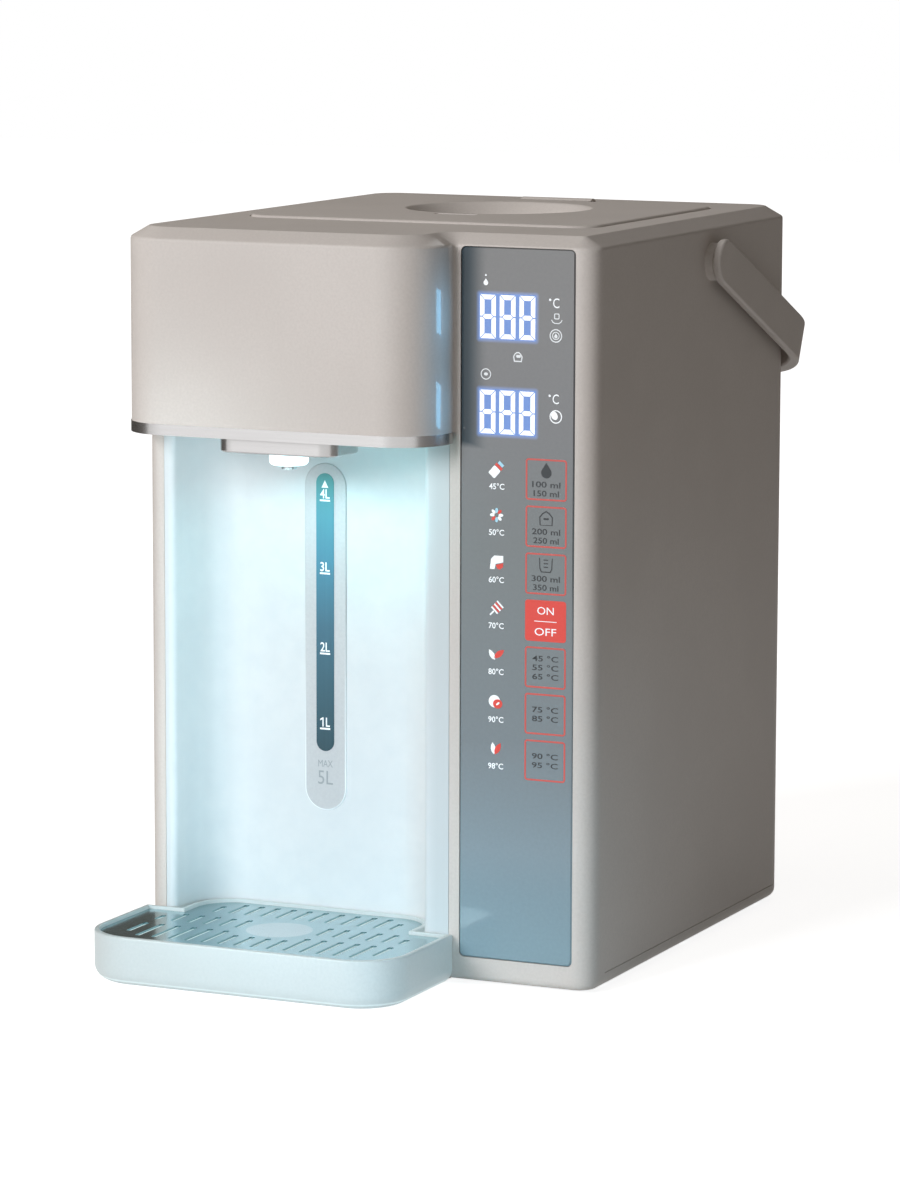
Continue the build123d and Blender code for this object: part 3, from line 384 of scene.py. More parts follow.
def opal_lens(name):
    """Opal plastic with its lamp behind it, coolest far from the lens's heart."""
    material, tree, shader, place = start(name)
    away = add(tree, "VectorMath", {"operation": "SUBTRACT", 1: [v * MM for v in LENS_HEART]}, {0: place})
    reach = add(tree, "VectorMath", {"operation": "LENGTH"}, {0: away.outputs[0]})
    rim = add(tree, "MapRange", span(0.0, LENS_RIM_MM), {"Value": reach.outputs["Value"]})
    glow = add(tree, "Mix", {"data_type": "RGBA", 6: colour("#ffffff"), 7: colour("#c8f6ff")},
               {0: rim.outputs[0]})
    wire(tree, shader, {"Base Color": colour("#f2fbfc"), "Roughness": 0.3, "Emission Strength": 1.6},
         {"Emission Color": glow.outputs[2]})
    return material


print("window", len(WINDOW_STOPS), "tones, lens", LENS_RIM_MM, "mm to its rim")

# %% [markdown]
# ## Finishes that change with place
# Five finishes aren't the same all over their piece. Each is a plain finish first, and a mask worked out
# from the object coordinates then changes one of its inputs. A mask is 1 where it acts and 0 elsewhere,
# with a short ramp between, and several masks multiply into the place that they share.
# Four of them paint light or shade: the tray's inner glow, shade on the lining's lips, a highlight on the
# window surround's rim and a reflection on the grille's cup rest.

# %% Helpers for masked finishes
def inner_parts(material):
    """A finished material's tree, its shader and its object coordinates."""
    tree = material.node_tree
    shader = next(node for node in tree.nodes if node.type == "BSDF_PRINCIPLED")
    return tree, shader, add(tree, "TexCoord").outputs["Object"]


def where_all(tree, masks):
    """The place where every one of the masks is on, as their product."""
    whole = masks[0]
    for mask in masks[1:]:
        whole = add(tree, "Math", {"operation": "MULTIPLY"}, {0: whole.outputs[0], 1: mask.outputs[0]})
    return whole.outputs[0]


def toned(material, mask, tree, shader, code):
    """Mixes a finish's colour with another one where the mask says."""
    before = shader.inputs["Base Color"].links[0].from_socket
    mix = add(tree, "Mix", {"data_type": "RGBA", 7: colour(code)}, {0: mask, 6: before})
    wire(tree, shader, links={"Base Color": mix.outputs[2]})
    return material


# %% [markdown]
# ### Tray, lining and window surround
# The drip tray's inner walls pass on the bay's light many times over, so they look lit from within, while
# its outer walls don't. The bay lining's two outer lips get a painted shade, a greyer tone where the bay lamp
# and the key reach them less. The rim of the acrylic around the window gets a painted highlight, a paler tone
# and a glow that are strongest near its foot, where the lamp's light catches it.

# %% Tray, lining and window surround
TRAY_PLAN = (-112.0, 44.0, -166.8, -40.0)
TRAY_CORNER = 24.0
INNER_SKIN = (TRAY_CORNER - 1.7, TRAY_CORNER - 1.1)
BASIN_FLOOR_Z = (1.9, 2.1)
BASIN_RIM_Z = (20.2, 20.6)
LINING_MIDDLE = -34.0
LIP_REACH = (60.0, 70.0)
BEZEL_AXIS = (-34.0, -34.0, 79.0, 219.7)
BEZEL_EDGE = (9.8, 10.1)
EDGE_GLOW_Z = (85.0, 160.0)


def lit_basin(material, outside, inside):
    """Makes the inside of the tray glow more than its outside."""
    tree, shader, place = inner_parts(material)
    x0, x1, y0, y1 = TRAY_PLAN
    r = TRAY_CORNER
    reach = box_distance(tree, place, (x0 + r, x1 - r, y0 + r, y1 - r), "XY")
    height = add(tree, "SeparateXYZ", links={0: place}).outputs["Z"]
    mask = where_all(tree, [add(tree, "MapRange", span(*BASIN_FLOOR_Z), {"Value": height}),
                            add(tree, "MapRange", span(*BASIN_RIM_Z, 1.0, 0.0), {"Value": height}),
                            add(tree, "MapRange", span(*INNER_SKIN, 1.0, 0.0), {"Value": reach})])
    strength = add(tree, "MapRange", {"To Min": outside, "To Max": inside}, {"Value": mask})
    wire(tree, shader, links={"Emission Strength": strength.outputs[0]})
    return material


def painted_shade_lips(material, code):
    """Paints shade on the lining's two outer lips, as a greyer tone."""
    tree, shader, place = inner_parts(material)
    across = add(tree, "SeparateXYZ", links={0: place}).outputs["X"]
    off = add(tree, "Math", {"operation": "SUBTRACT", 1: LINING_MIDDLE * MM}, {0: across})
    size = add(tree, "Math", {"operation": "ABSOLUTE"}, {0: off.outputs[0]})
    lips = add(tree, "MapRange", span(*LIP_REACH), {"Value": size.outputs[0]})
    return toned(material, lips.outputs[0], tree, shader, code)


def painted_edge_highlight(material, code, glow):
    """Paints a highlight on the rim of the window's surround, a paler tone and a glow, most at its foot."""
    tree, shader, place = inner_parts(material)
    height = add(tree, "SeparateXYZ", links={0: place}).outputs["Z"]
    reach = box_distance(tree, place, BEZEL_AXIS)
    mask = where_all(tree, [add(tree, "MapRange", span(*BEZEL_EDGE), {"Value": reach}),
                            add(tree, "MapRange", span(*EDGE_GLOW_Z, 1.0, 0.0), {"Value": height})])
    strength = add(tree, "Math", {"operation": "MULTIPLY", 1: glow}, {0: mask})
    wire(tree, shader, {"Emission Color": colour(code)}, {"Emission Strength": strength.outputs[0]})
    return toned(material, mask, tree, shader, code)


print("basin from", BASIN_FLOOR_Z[0], "to", BASIN_RIM_Z[1], "mm high")

# %% [markdown]
# ### Head and grille
# The head's flank beside the glass is rubbed smooth, so it mirrors the displays. The grille has a paler
# round spot where cups stand, a painted reflection of the light from above.

# %% Head and grille
FLANK_X = (38.0, 41.0)
FLANK_Y = (-98.5, -97.8)
FLANK_Z = (250.0, 252.0)
REST_X = -34.0
REST_Y = -116.3
REST_EDGE = (15.1, 15.5)


def polished_flank(material):
    """Puts a clear coat on the head's side that faces the displays."""
    tree, shader, place = inner_parts(material)
    axes = add(tree, "SeparateXYZ", links={0: place})
    mask = where_all(tree, [add(tree, "MapRange", span(*FLANK_X), {"Value": axes.outputs["X"]}),
                            add(tree, "MapRange", span(*FLANK_Y, 1.0, 0.0), {"Value": axes.outputs["Y"]}),
                            add(tree, "MapRange", span(*FLANK_Z), {"Value": axes.outputs["Z"]})])
    wire(tree, shader, {"Coat Roughness": 0.07}, {"Coat Weight": mask})
    return material


def painted_rest_reflection(material, code):
    """Paints a reflection on the grille, as a paler disc under the cup."""
    tree, shader, place = inner_parts(material)
    reach = box_distance(tree, place, (REST_X, REST_X, REST_Y, REST_Y), "XY")
    spot = add(tree, "MapRange", span(*REST_EDGE, 1.0, 0.0), {"Value": reach})
    return toned(material, spot.outputs[0], tree, shader, code)


print("cup rest", 2 * REST_EDGE[1], "mm across")

# %% [markdown]
# ## One finish for each material slot
# The record names a slot for every node, so a table from slot to material dresses the whole model. The
# first number after the colours is the roughness. A comment over each one says what it gives the eye.

# %% Finishes by slot
FINISHES = {
    # Warm grey ABS from a spark-eroded mould: matt and even, with a wide soft highlight.
    # Only the head's flank beside the displays has a gloss on top.
    "housing_plastic": polished_flank(moulded("spark_eroded_abs", "#d4ccc5", "#cdc5be", 0.52, 1.2, 0.05,
                                              specular=0.35)),
    # White ABS from a polished mould: mirrors soften in it, and a faint orange peel breaks them.
    # Its two outer lips are greyed by painted shade.
    "bay_white": painted_shade_lips(moulded("polished_white_abs", "#e2e5e5", "#dce0e1", 0.34, 9.0, 0.005, 0.02,
                                    specular=0.35), "#cdd3d4"),
    # White polypropylene, satin so that water marks don't show. Its thin walls pass on some of the bay's
    # pale blue light, so the side that turns away from the lamp stays light.
    "tray_white": lit_basin(moulded("satin_white_pp", "#c9cfce", "#c2c9c8", 0.34, 1.4, 0.03,
                                    glow=("#bccdcf", 0.16)), 0.16, 0.55),
    # Milky acrylic around the window: pale, blurred, slightly blue.
    # Its rim gets a painted highlight: paler, and glowing most at its foot.
    "frosted_window": painted_edge_highlight(moulded("frosted_acrylic", "#cccdcd", "#c4c5c6", 0.38, 1.2, 0.03),
                                    "#f0f6f7", 0.12),
    # A clear tinted strip over a dark slot: teal at its top and smoky blue at its foot, under gloss.
    "window_lens": tinted_window("tinted_san_window"),
    # Opal plastic with its lamp behind it: a bright white that turns cyan at the rim.
    "light_lens": opal_lens("opal_polycarbonate"),
    # Anodised aluminium trim: bright satin along the front, falling to dark where it turns away.
    "silver_trim": brushed("satin_anodised_aluminium", "#c9c7c6", "#c2c0bf", 0.26, 0.5, "X", 0.003, 0.02),
    # Stainless tube and sheet: a clean cool shine, drawn out by brush lines that run upwards.
    "stainless_steel": brushed("brushed_stainless_steel", "#c9cacb", "#b2b4b6", 0.28, 0.4, "Z"),
    # Bright rolled stainless sheet for the grille: a cool mirror, with a painted reflection that makes the
    # disc under the cup paler.
    "grille_steel": painted_rest_reflection(brushed("bright_rolled_stainless", "#9cbcc2", "#8dadb4", 0.2, 0.5, "X"),
                               "#b9c6c9"),
    # Lacquered board: a deep green with a faint woven grid under a soft gloss.
    "circuit_board": lacquered_board("green_lacquered_board", "#14532f", "#0f4426"),
    # Painted from behind: grey above, bluer below with a painted reflection of cyan light, under a sharp
    # reflection.
    "control_glass": back_painted_glass("back_painted_tempered_glass"),
    # The display modules are black potted plastic, hidden behind the glass.
    "display_black": moulded("potted_black_resin", "#17181a", "#101113", 0.4, 1.2, 0.03),
    # Cast silicone: milky and dull, and a little light comes through it.
    "silicone": cast_soft("cast_silicone", "#dcdcd6", "#cfcfc8", 0.45, 6.0, 0.25),
    # Natural polypropylene where water touches: a little creamy and dull.
    "inner_plastic": moulded("natural_polypropylene", "#e3e2dc", "#dad9d2", 0.42, 1.6, 0.04),
    # Dark grey polypropylene: matt, so the steam vent stands out from the lid as a dark shape.
    "vent_plastic": moulded("dark_grey_pp", "#57544f", "#4c4945", 0.5, 1.2, 0.04),
    # Die-cast aluminium, milled flat: a dull grey with broad tool lines.
    "heater_aluminium": brushed("die_cast_aluminium", "#b9b9b7", "#9d9d9b", 0.48, 0.9, "Y", 0.04),
    # Nickel-plated pressings: a soft, slightly warm shine.
    "sensor_metal": brushed("pressed_nickel_steel", "#b5b4ae", "#a09f99", 0.34, 0.5, "Z"),
    # Galvanised sheet: a dull cool grey with long cloudy streaks.
    "cradle_steel": brushed("galvanised_steel", "#a9adb0", "#8d9296", 0.45, 2.0, "X", 0.02),
    # Glass-filled nylon: creamy and dull, a little uneven from the fibres.
    "pump_plastic": moulded("glass_filled_nylon", "#dcd9cf", "#cfccc1", 0.5, 1.2, 0.05),
    # A zinc-plated can: a cool satin shine that runs up it.
    "motor_steel": brushed("zinc_plated_steel", "#b7bbbd", "#a2a6a9", 0.33, 0.4, "Z"),
    # Moulded rubber: near black, and so dull that it hardly reflects.
    "black_rubber": cast_soft("moulded_black_rubber", "#26262a", "#1c1c1f", 0.75, 2.0),
    # A drawn glass tube: clear, with the palest blue-green in it.
    "clear_glass": cast_soft("drawn_glass_tube", "#eef6f6", "#e4f0f0", 0.15, 12.0, 0.9),
    # Recycled polypropylene: a mid grey, quite matt.
    "base_plastic": moulded("recycled_grey_pp", "#8d8a84", "#83807a", 0.55, 1.3, 0.05),
    # Plated screws: small and fairly bright.
    "screw_steel": brushed("plated_screw_steel", "#aeb1b3", "#94979a", 0.3, 0.4, "X"),
    # Phenolic around the contacts: near black with a soft sheen.
    "inlet_black": moulded("black_phenolic", "#1d1d1f", "#151517", 0.38, 1.2, 0.03),
    # Stamped brass: warm yellow, with the strip's fine lines.
    "brass_contacts": brushed("stamped_brass", "#d3b36b", "#bd9b55", 0.25, 0.4, "Y"),
    # Natural nylon: creamy white and dull.
    "post_nylon": moulded("natural_nylon", "#e2dfd2", "#d6d3c5", 0.45, 1.2, 0.04),
    # Resin around the boards' components: near black and satin.
    "component_black": moulded("moulded_component_resin", "#26272b", "#1c1d20", 0.42, 1.2, 0.04),
}

slot_of = {part["node"]: part["material_slot"] for part in frame["record"]["subparts"]}
for name, solid in frame["nodes"].items():
    solid.data.materials.clear()
    solid.data.materials.append(FINISHES[slot_of[name]])
print("dressed", len(slot_of), "nodes in", len(FINISHES), "finishes")

# %% [markdown]
# ## Printing ink
# Print on glass is a film a few hundredths of a millimetre thick. Each shape is drawn in the panel's own
# plane as (x, z) points in millimetres, then made into a thin closed plate that sits on the panel. All
# shapes of one ink end up in one mesh, as one screen print would lay them down.

# %% Printing helpers
GLASS_FACE = -97.4
INK_MM = 0.06
CORNER_STEPS = 5
DROP_STEPS = 20
WELD_M = 1e-7


def facing_front(points):
    """The same loop, turned so that its face looks towards -Y."""
    area = sum(a[0] * b[1] - b[0] * a[1] for a, b in zip(points, points[1:] + points[:1]))
    return points if area > 0 else points[::-1]


def plate(ink, points, face=GLASS_FACE, lift=0.0):
    """A thin closed plate of any outline on the panel's face."""
    loop = facing_front(points)
    back = [ink.verts.new((x * MM, (face - lift) * MM, z * MM)) for x, z in loop]
    front = [ink.verts.new((x * MM, (face - lift - INK_MM) * MM, z * MM)) for x, z in loop]
    ink.faces.new(front)
    ink.faces.new(back[::-1])
    for i in range(len(loop)):
        j = (i + 1) % len(loop)
        ink.faces.new((back[i], back[j], front[j], front[i]))


def hoop(ink, outer, inner):
    """A closed outline between two loops with the same number of points."""
    outer = facing_front(outer)
    inner = facing_front(inner)
    front = GLASS_FACE - INK_MM
    rows = [[ink.verts.new((x * MM, y * MM, z * MM)) for x, z in loop]
            for loop, y in ((outer, GLASS_FACE), (outer, front), (inner, front), (inner, GLASS_FACE))]
    for i in range(len(outer)):
        j = (i + 1) % len(outer)
        for row in range(4):
            near = rows[row]
            far = rows[(row + 1) % 4]
            ink.faces.new((near[i], near[j], far[j], far[i]))


def circle(cx, cz, rx, rz=None, count=24, turn=0.0):
    """An ellipse's points, turned by some degrees."""
    rz = rx if rz is None else rz
    c, s = math.cos(math.radians(turn)), math.sin(math.radians(turn))
    found = []
    for i in range(count):
        a = 2 * math.pi * i / count
        x, z = rx * math.cos(a), rz * math.sin(a)
        found.append((cx + x * c - z * s, cz + x * s + z * c))
    return found


def drop(cx, cz, r, tall):
    """A water drop with its tip at the top."""
    found = []
    for i in range(DROP_STEPS):
        a = math.radians(-215 + 250 * i / (DROP_STEPS - 1))
        found.append((cx + r * math.cos(a), cz + r * math.sin(a)))
    return found + [(cx, cz + tall - r)]


def rounded(x0, x1, z0, z1, r):
    """A rectangle with rounded corners."""
    found = []
    corners = ((x1 - r, z0 + r, -90), (x1 - r, z1 - r, 0), (x0 + r, z1 - r, 90), (x0 + r, z0 + r, 180))
    for cx, cz, first in corners:
        for i in range(CORNER_STEPS + 1):
            a = math.radians(first + 90 * i / CORNER_STEPS)
            found.append((cx + r * math.cos(a), cz + r * math.sin(a)))
    return found


def words(ink, text, cx, cz, height, width, face=GLASS_FACE, weight=0.0):
    """Figures and units, turned into a mesh and laid on the panel. The weight thickens their strokes."""
    curve = bpy.data.curves.new("figures", "FONT")
    curve.body = text
    curve.resolution_u = 3
    curve.extrude = 0.5
    curve.offset = weight
    holder = placed("figures", curve)
    bpy.context.view_layer.update()
    mesh = bpy.data.meshes.new_from_object(holder.evaluated_get(bpy.context.evaluated_depsgraph_get()))
    bpy.data.objects.remove(holder)
    xs = [v.co.x for v in mesh.vertices]
    ys = [v.co.y for v in mesh.vertices]
    up = height * MM / (max(ys) - min(ys))
    over = width * MM / (max(xs) - min(xs))
    middle = Vector(((max(xs) + min(xs)) / 2, (max(ys) + min(ys)) / 2, 0))
    size = Matrix.Diagonal((over, up, INK_MM * MM, 1))
    stand = Matrix.Rotation(math.radians(90), 4, "X")
    at = Matrix.Translation((cx * MM, (face - INK_MM / 2) * MM, cz * MM))
    mesh.transform(at @ stand @ size @ Matrix.Translation(-middle))
    ink.from_mesh(mesh)
    bpy.data.meshes.remove(mesh)


def finish_print(ink, name, material, body="pot"):
    """Turns one ink's shapes into a piece that rides with the pot."""
    bmesh.ops.remove_doubles(ink, verts=ink.verts, dist=WELD_M)
    bmesh.ops.recalc_face_normals(ink, faces=ink.faces)
    mesh = bpy.data.meshes.new(name)
    ink.to_mesh(mesh)
    ink.free()
    mesh.materials.append(material)
    piece = placed(name, mesh)
    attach(piece, body)
    print(name, len(mesh.polygons), "faces")


print("the ink is", INK_MM, "mm thick")

# %% [markdown]
# ## Inks
# Screen ink is opaque and slightly satin, and its film is never quite even, which a fine noise in tone
# and roughness gives. Where light comes through, the ink is left open, so those shapes glow.

# %% Inks
FILM_MM = 0.8


def screen_ink(name, tone, shade, glow=0.0):
    """Opaque ink, uneven in tone and roughness, which may glow in its own colour."""
    material, tree, shader, place = start(name)
    film = add(tree, "TexNoise", {"Scale": per_metre(FILM_MM), "Detail": 2.0}, {"Vector": place})
    mix = add(tree, "Mix", {"data_type": "RGBA", 6: colour(shade), 7: colour(tone)},
              {0: film.outputs["Fac"]})
    rough = add(tree, "MapRange", {"To Min": 0.25, "To Max": 0.4}, {"Value": film.outputs["Fac"]})
    wire(tree, shader, {"Emission Strength": glow},
         {"Base Color": mix.outputs[2], "Roughness": rough.outputs[0], "Emission Color": mix.outputs[2]})
    return material


# White, opaque and a little lit from behind, for words and figures.
INK_WHITE = screen_ink("white_screen_ink", "#f4f6f7", "#e8ecee", 0.25)
# A strong flat red, for the solid key and parts of the pictograms.
INK_RED = screen_ink("red_screen_ink", "#e0493f", "#d5433a", 0.1)
# Coral, softer than the red, for the thin key frames.
INK_LINE = screen_ink("coral_screen_ink", "#cf564f", "#c44e48", 0.08)
# A dark grey that stands back from the paint, for the words on the keys.
INK_DARK = screen_ink("dark_grey_screen_ink", "#2b3033", "#24292c")
# A pale grey, quieter than the white, for the small signs.
INK_GREY = screen_ink("pale_grey_screen_ink", "#dfe2e3", "#d4d8da", 0.2)
# A pale blue, for touches in the pictograms.
INK_BLUE = screen_ink("pale_blue_screen_ink", "#a9d8ea", "#9ccbdf", 0.15)
# The segments themselves: the brightest white on the glass.
LIGHT_WHITE = screen_ink("lit_white_segment", "#ffffff", "#f3f7ff", 0.4)
# A soft blue behind them, where their light leaks.
LIGHT_BLUE = screen_ink("lit_blue_backing", "#7394d2", "#6888c6", 0.2)
print("inks", [m.name for m in (INK_WHITE, INK_RED, INK_LINE, INK_DARK, INK_GREY, INK_BLUE)])
print("lit segments", LIGHT_WHITE.name, "over", LIGHT_BLUE.name)

# %% [markdown]
# ## Repeating with Geometry Nodes
# Display digits and key frames repeat on a regular grid, which is work for Geometry Nodes. The tree
# takes one shape, puts it on every point of a grid of columns and rows, makes the copies real and gives
# them their material. The same tree serves every repeat, with its sizes as named inputs.

# %% Repeat tree
def repeat_tree():
    """The tree, and the identifier of each of its named inputs."""
    tree = bpy.data.node_groups.new("repeat_on_grid", "GeometryNodeTree")
    inputs = {}
    for name, kind in (("Geometry", "NodeSocketGeometry"), ("Columns", "NodeSocketInt"),
                       ("Rows", "NodeSocketInt"), ("Column Pitch", "NodeSocketFloat"),
                       ("Row Pitch", "NodeSocketFloat"), ("Material", "NodeSocketMaterial")):
        inputs[name] = tree.interface.new_socket(name, in_out="INPUT", socket_type=kind).identifier
    tree.interface.new_socket("Geometry", in_out="OUTPUT", socket_type="NodeSocketGeometry")
    given = add(tree, "NodeGroupInput")
    across = add(tree, "CombineXYZ", links={"X": given.outputs["Column Pitch"]})
    row = add(tree, "GeometryNodeMeshLine",
              links={"Count": given.outputs["Columns"], "Offset": across.outputs[0]})
    down = add(tree, "CombineXYZ", links={"Z": given.outputs["Row Pitch"]})
    column = add(tree, "GeometryNodeMeshLine",
                 links={"Count": given.outputs["Rows"], "Offset": down.outputs[0]})
    first = add(tree, "GeometryNodeInstanceOnPoints",
                links={"Points": row.outputs[0], "Instance": given.outputs["Geometry"]})
    second = add(tree, "GeometryNodeInstanceOnPoints",
                 links={"Points": column.outputs[0], "Instance": first.outputs[0]})
    real = add(tree, "GeometryNodeRealizeInstances", links={0: second.outputs[0]})
    painted = add(tree, "GeometryNodeSetMaterial",
                  links={"Geometry": real.outputs[0], "Material": given.outputs["Material"]})
    add(tree, "NodeGroupOutput", links={0: painted.outputs[0]})
    return tree, inputs


REPEAT, REPEAT_INPUTS = repeat_tree()


def repeated(ink, name, material, columns, rows, column_mm, row_mm, body="pot"):
    """Repeats one drawn shape on a grid and bakes the result into a plain mesh."""
    seed_mesh = bpy.data.meshes.new(name + "_one")
    ink.to_mesh(seed_mesh)
    ink.free()
    seed = placed(name + "_one", seed_mesh)
    modifier = seed.modifiers.new("repeat", "NODES")
    modifier.node_group = REPEAT
    for label, value in (("Columns", columns), ("Rows", rows), ("Column Pitch", column_mm * MM),
                         ("Row Pitch", row_mm * MM), ("Material", material)):
        modifier[REPEAT_INPUTS[label]] = value
    bpy.context.view_layer.update()
    baked = bpy.data.meshes.new_from_object(seed.evaluated_get(bpy.context.evaluated_depsgraph_get()))
    bpy.data.objects.remove(seed)
    baked.name = name
    piece = placed(name, baked)
    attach(piece, body)
    print(name, columns * rows, "copies,", len(baked.polygons), "faces")


print("repeat tree", len(REPEAT.nodes), "nodes")

# %% [markdown]
# ## The two displays
# Each display shows three seven-segment digits with all segments lit. A segment is a bar with mitred
# ends, so that neighbours meet at a thin gap. One digit is drawn, and the tree repeats it three across
# and two down. A blue backing behind the digits is the light that leaks between the segments.

# %% Displays
DIGIT_W = 7.6
DIGIT_H = 19.4
STROKE = 2.1
MITRE_GAP = 0.27
DIGIT_X = 56.6
DIGIT_Z = 294.0
DIGIT_PITCH = 9.5
DISPLAY_PITCH = -42.3
BACKING_MORE = 0.3


def draw_digit(ink, x, z):
    """All seven segments of a digit, whose lower left corner is at (x, z)."""
    w, h, t, g = DIGIT_W, DIGIT_H, STROKE, MITRE_GAP
    mid = h / 2
    segments = [
        [(g, h), (w - g, h), (w - t - g, h - t), (t + g, h - t)],
        [(g, 0), (w - g, 0), (w - t - g, t), (t + g, t)],
        [(t / 2 + g, mid), (t + g, mid + t / 2), (w - t - g, mid + t / 2), (w - t / 2 - g, mid),
         (w - t - g, mid - t / 2), (t + g, mid - t / 2)],
    ]
    for side in (0, 1):
        for low in (0, 1):
            one = [(0, h - g), (t, h - t - g), (t, mid + t / 2 + g), (t / 2, mid + g), (0, mid + g)]
            if low:
                one = [(px, h - pz) for px, pz in one]
            if side:
                one = [(w - px, pz) for px, pz in one]
            segments.append(one)
    for one in segments:
        plate(ink, [(x + px, z + pz) for px, pz in one], lift=INK_MM)


one_digit = bmesh.new()
draw_digit(one_digit, DIGIT_X, DIGIT_Z)
repeated(one_digit, "display_digits", LIGHT_WHITE, 3, 2, DIGIT_PITCH, DISPLAY_PITCH)

backing = bmesh.new()
for x0, x1, z0, z1 in DISPLAYS:
    plate(backing, rounded(x0 - BACKING_MORE, x1 + BACKING_MORE, z0 - BACKING_MORE, z1 + BACKING_MORE, 0.5))
finish_print(backing, "display_backing", LIGHT_BLUE)

# %% [markdown]
# ## Touch keys
# Seven touch keys stand in a column, each in a thin coral frame, and the fourth is a solid red field. The
# frame is one rounded outline, repeated downwards by the same tree.

# %% Touch keys
KEY_X0, KEY_X1 = 79.0, 98.8
KEY_TOP = 241.6
KEY_H = 18.5
KEY_PITCH = 21.05
KEY_COUNT = 7
KEY_LINE = 0.75
KEY_R = 1.4
KEY_MID = (KEY_X0 + KEY_X1) / 2
RED_KEY = 3
RED_LIFT = 0.01

frame_line = bmesh.new()
hoop(frame_line, rounded(KEY_X0, KEY_X1, KEY_TOP - KEY_H, KEY_TOP, KEY_R),
     rounded(KEY_X0 + KEY_LINE, KEY_X1 - KEY_LINE, KEY_TOP - KEY_H + KEY_LINE, KEY_TOP - KEY_LINE,
             KEY_R - KEY_LINE))
repeated(frame_line, "key_frames", INK_LINE, 1, KEY_COUNT, 0.0, -KEY_PITCH)


def key_span(number):
    """The bottom and top of a key, counted from 0 at the top."""
    top = KEY_TOP - number * KEY_PITCH
    return top - KEY_H, top


red = bmesh.new()
low, high = key_span(RED_KEY)
plate(red, rounded(KEY_X0, KEY_X1, low, high, KEY_R), lift=RED_LIFT)
print("keys", KEY_COUNT, "from", KEY_TOP, "down to", round(key_span(KEY_COUNT - 1)[0], 2), "mm")

# %% [markdown]
# ## What stands on the keys
# Each of the other six keys has its words in dark grey: an amount of water on the upper three and water
# temperatures on the lower three. Over the amounts stand a drop, a small pot with a peaked lid, and an
# open cup with three level lines.

# %% Words and pictures on the keys
BOLD = 0.012
LINE_H = 2.7
LINE_PITCH = 4.1
ICON_FOOT = 8.6

dark = bmesh.new()
low, high = key_span(0)
plate(dark, drop(KEY_MID, high - 6.1, 2.5, 7.0))
for number, lines in ((0, ("100 ml", "150 ml")), (1, ("200 ml", "250 ml")), (2, ("300 ml", "350 ml"))):
    low, high = key_span(number)
    words(dark, lines[0], KEY_MID, high - 11.4, LINE_H, 13.6, weight=BOLD)
    words(dark, lines[1], KEY_MID, high - 15.4, LINE_H, 12.2, weight=BOLD)
for number, lines in ((4, ("45 °C", "55 °C", "65 °C")), (5, ("75 °C", "85 °C")),
                      (6, ("90 °C", "95 °C"))):
    low, high = key_span(number)
    centre = (low + high) / 2
    for i, line in enumerate(lines):
        rise = LINE_PITCH * ((len(lines) - 1) / 2 - i)
        words(dark, line, KEY_MID, centre + rise, LINE_H, 12.6, weight=BOLD)

low, high = key_span(1)
pot = [(-3.1, 0), (3.1, 0), (3.3, 3.8), (1.7, 5.6), (0, 6.6), (-1.7, 5.6), (-3.3, 3.8)]
hoop(dark, [(KEY_MID + x, high - ICON_FOOT + z) for x, z in pot],
     [(KEY_MID + x * 0.84, high - 8.3 + z * 0.86) for x, z in pot])
plate(dark, rounded(KEY_MID - 1.3, KEY_MID + 1.3, high - 6.1, high - 5.2, 0.4))
low, high = key_span(2)
cup = [(-2.3, 0), (2.3, 0), (3.1, 1.6), (3.3, 6.6), (2.9, 6.6), (2.6, 1.9), (2.0, 0.5), (-2.0, 0.5),
       (-2.6, 1.9), (-2.9, 6.6), (-3.3, 6.6), (-3.1, 1.6)]
plate(dark, [(KEY_MID + x, high - ICON_FOOT + z) for x, z in cup])
for level in (2.2, 3.8, 5.4):
    plate(dark, rounded(KEY_MID - 1.1, KEY_MID + 1.1, high - ICON_FOOT + level, high - 8.1 + level, 0.2))
print("dark ink", len(dark.faces), "faces so far")

# %% [markdown]
# ## Pictograms and figures
# Small pictograms sit to the left of the keys, each over its water temperature: a bottle, a blossom, a
# carton, a striped sweet, leaves, a cup and a bud. They are drawn from circles, leaves and bars. White,
# red and pale blue are separate inks, each in a mesh of its own.

# %% Pictograms
white = bmesh.new()
blue = bmesh.new()
ICON_X = 64.95
ICON_ROWS = [235.95, 215.35, 194.05, 173.35, 152.55, 130.85, 109.7]
HEAT = ["45°C", "50°C", "60°C", "70°C", "80°C", "90°C", "98°C"]
for z, heat in zip(ICON_ROWS, HEAT):
    words(white, heat, ICON_X, z - 7.7, 2.8, 7.4, weight=BOLD)


def turned(points, cx, cz, degrees=0.0):
    """Points drawn about the origin, turned and moved to their place."""
    c, s = math.cos(math.radians(degrees)), math.sin(math.radians(degrees))
    return [(cx + x * c - z * s, cz + x * s + z * c) for x, z in points]


def bar(x0, x1, z0, z1):
    """A rectangle."""
    return [(x0, z0), (x1, z0), (x1, z1), (x0, z1)]


bottle = [(rounded(-2.0, 2.0, -4.0, 0.6, 0.6), white), (bar(-2.0, 2.0, 0.8, 2.1), red),
          (bar(-1.5, 1.5, 2.3, 3.7), blue)]
for points, ink in bottle:
    plate(ink, turned(points, ICON_X, ICON_ROWS[0], -42))
for i in range(8):
    petal = circle(2.1, 0, 1.15, 0.72, 12)
    plate((white, red, blue, white)[i % 4], turned(petal, ICON_X, ICON_ROWS[1], 45 * i))
carton = [(-3.2, -3.0), (-0.9, -3.0), (-0.4, -0.6), (3.3, 0.2), (3.3, 3.1), (-1.0, 3.1), (-2.6, 1.6)]
plate(white, turned(carton, ICON_X, ICON_ROWS[2]))
spill = [(-0.3, -1.1), (3.3, -0.1), (3.2, -2.0), (1.6, -3.1), (0.3, -2.6)]
plate(red, turned(spill, ICON_X, ICON_ROWS[2]))
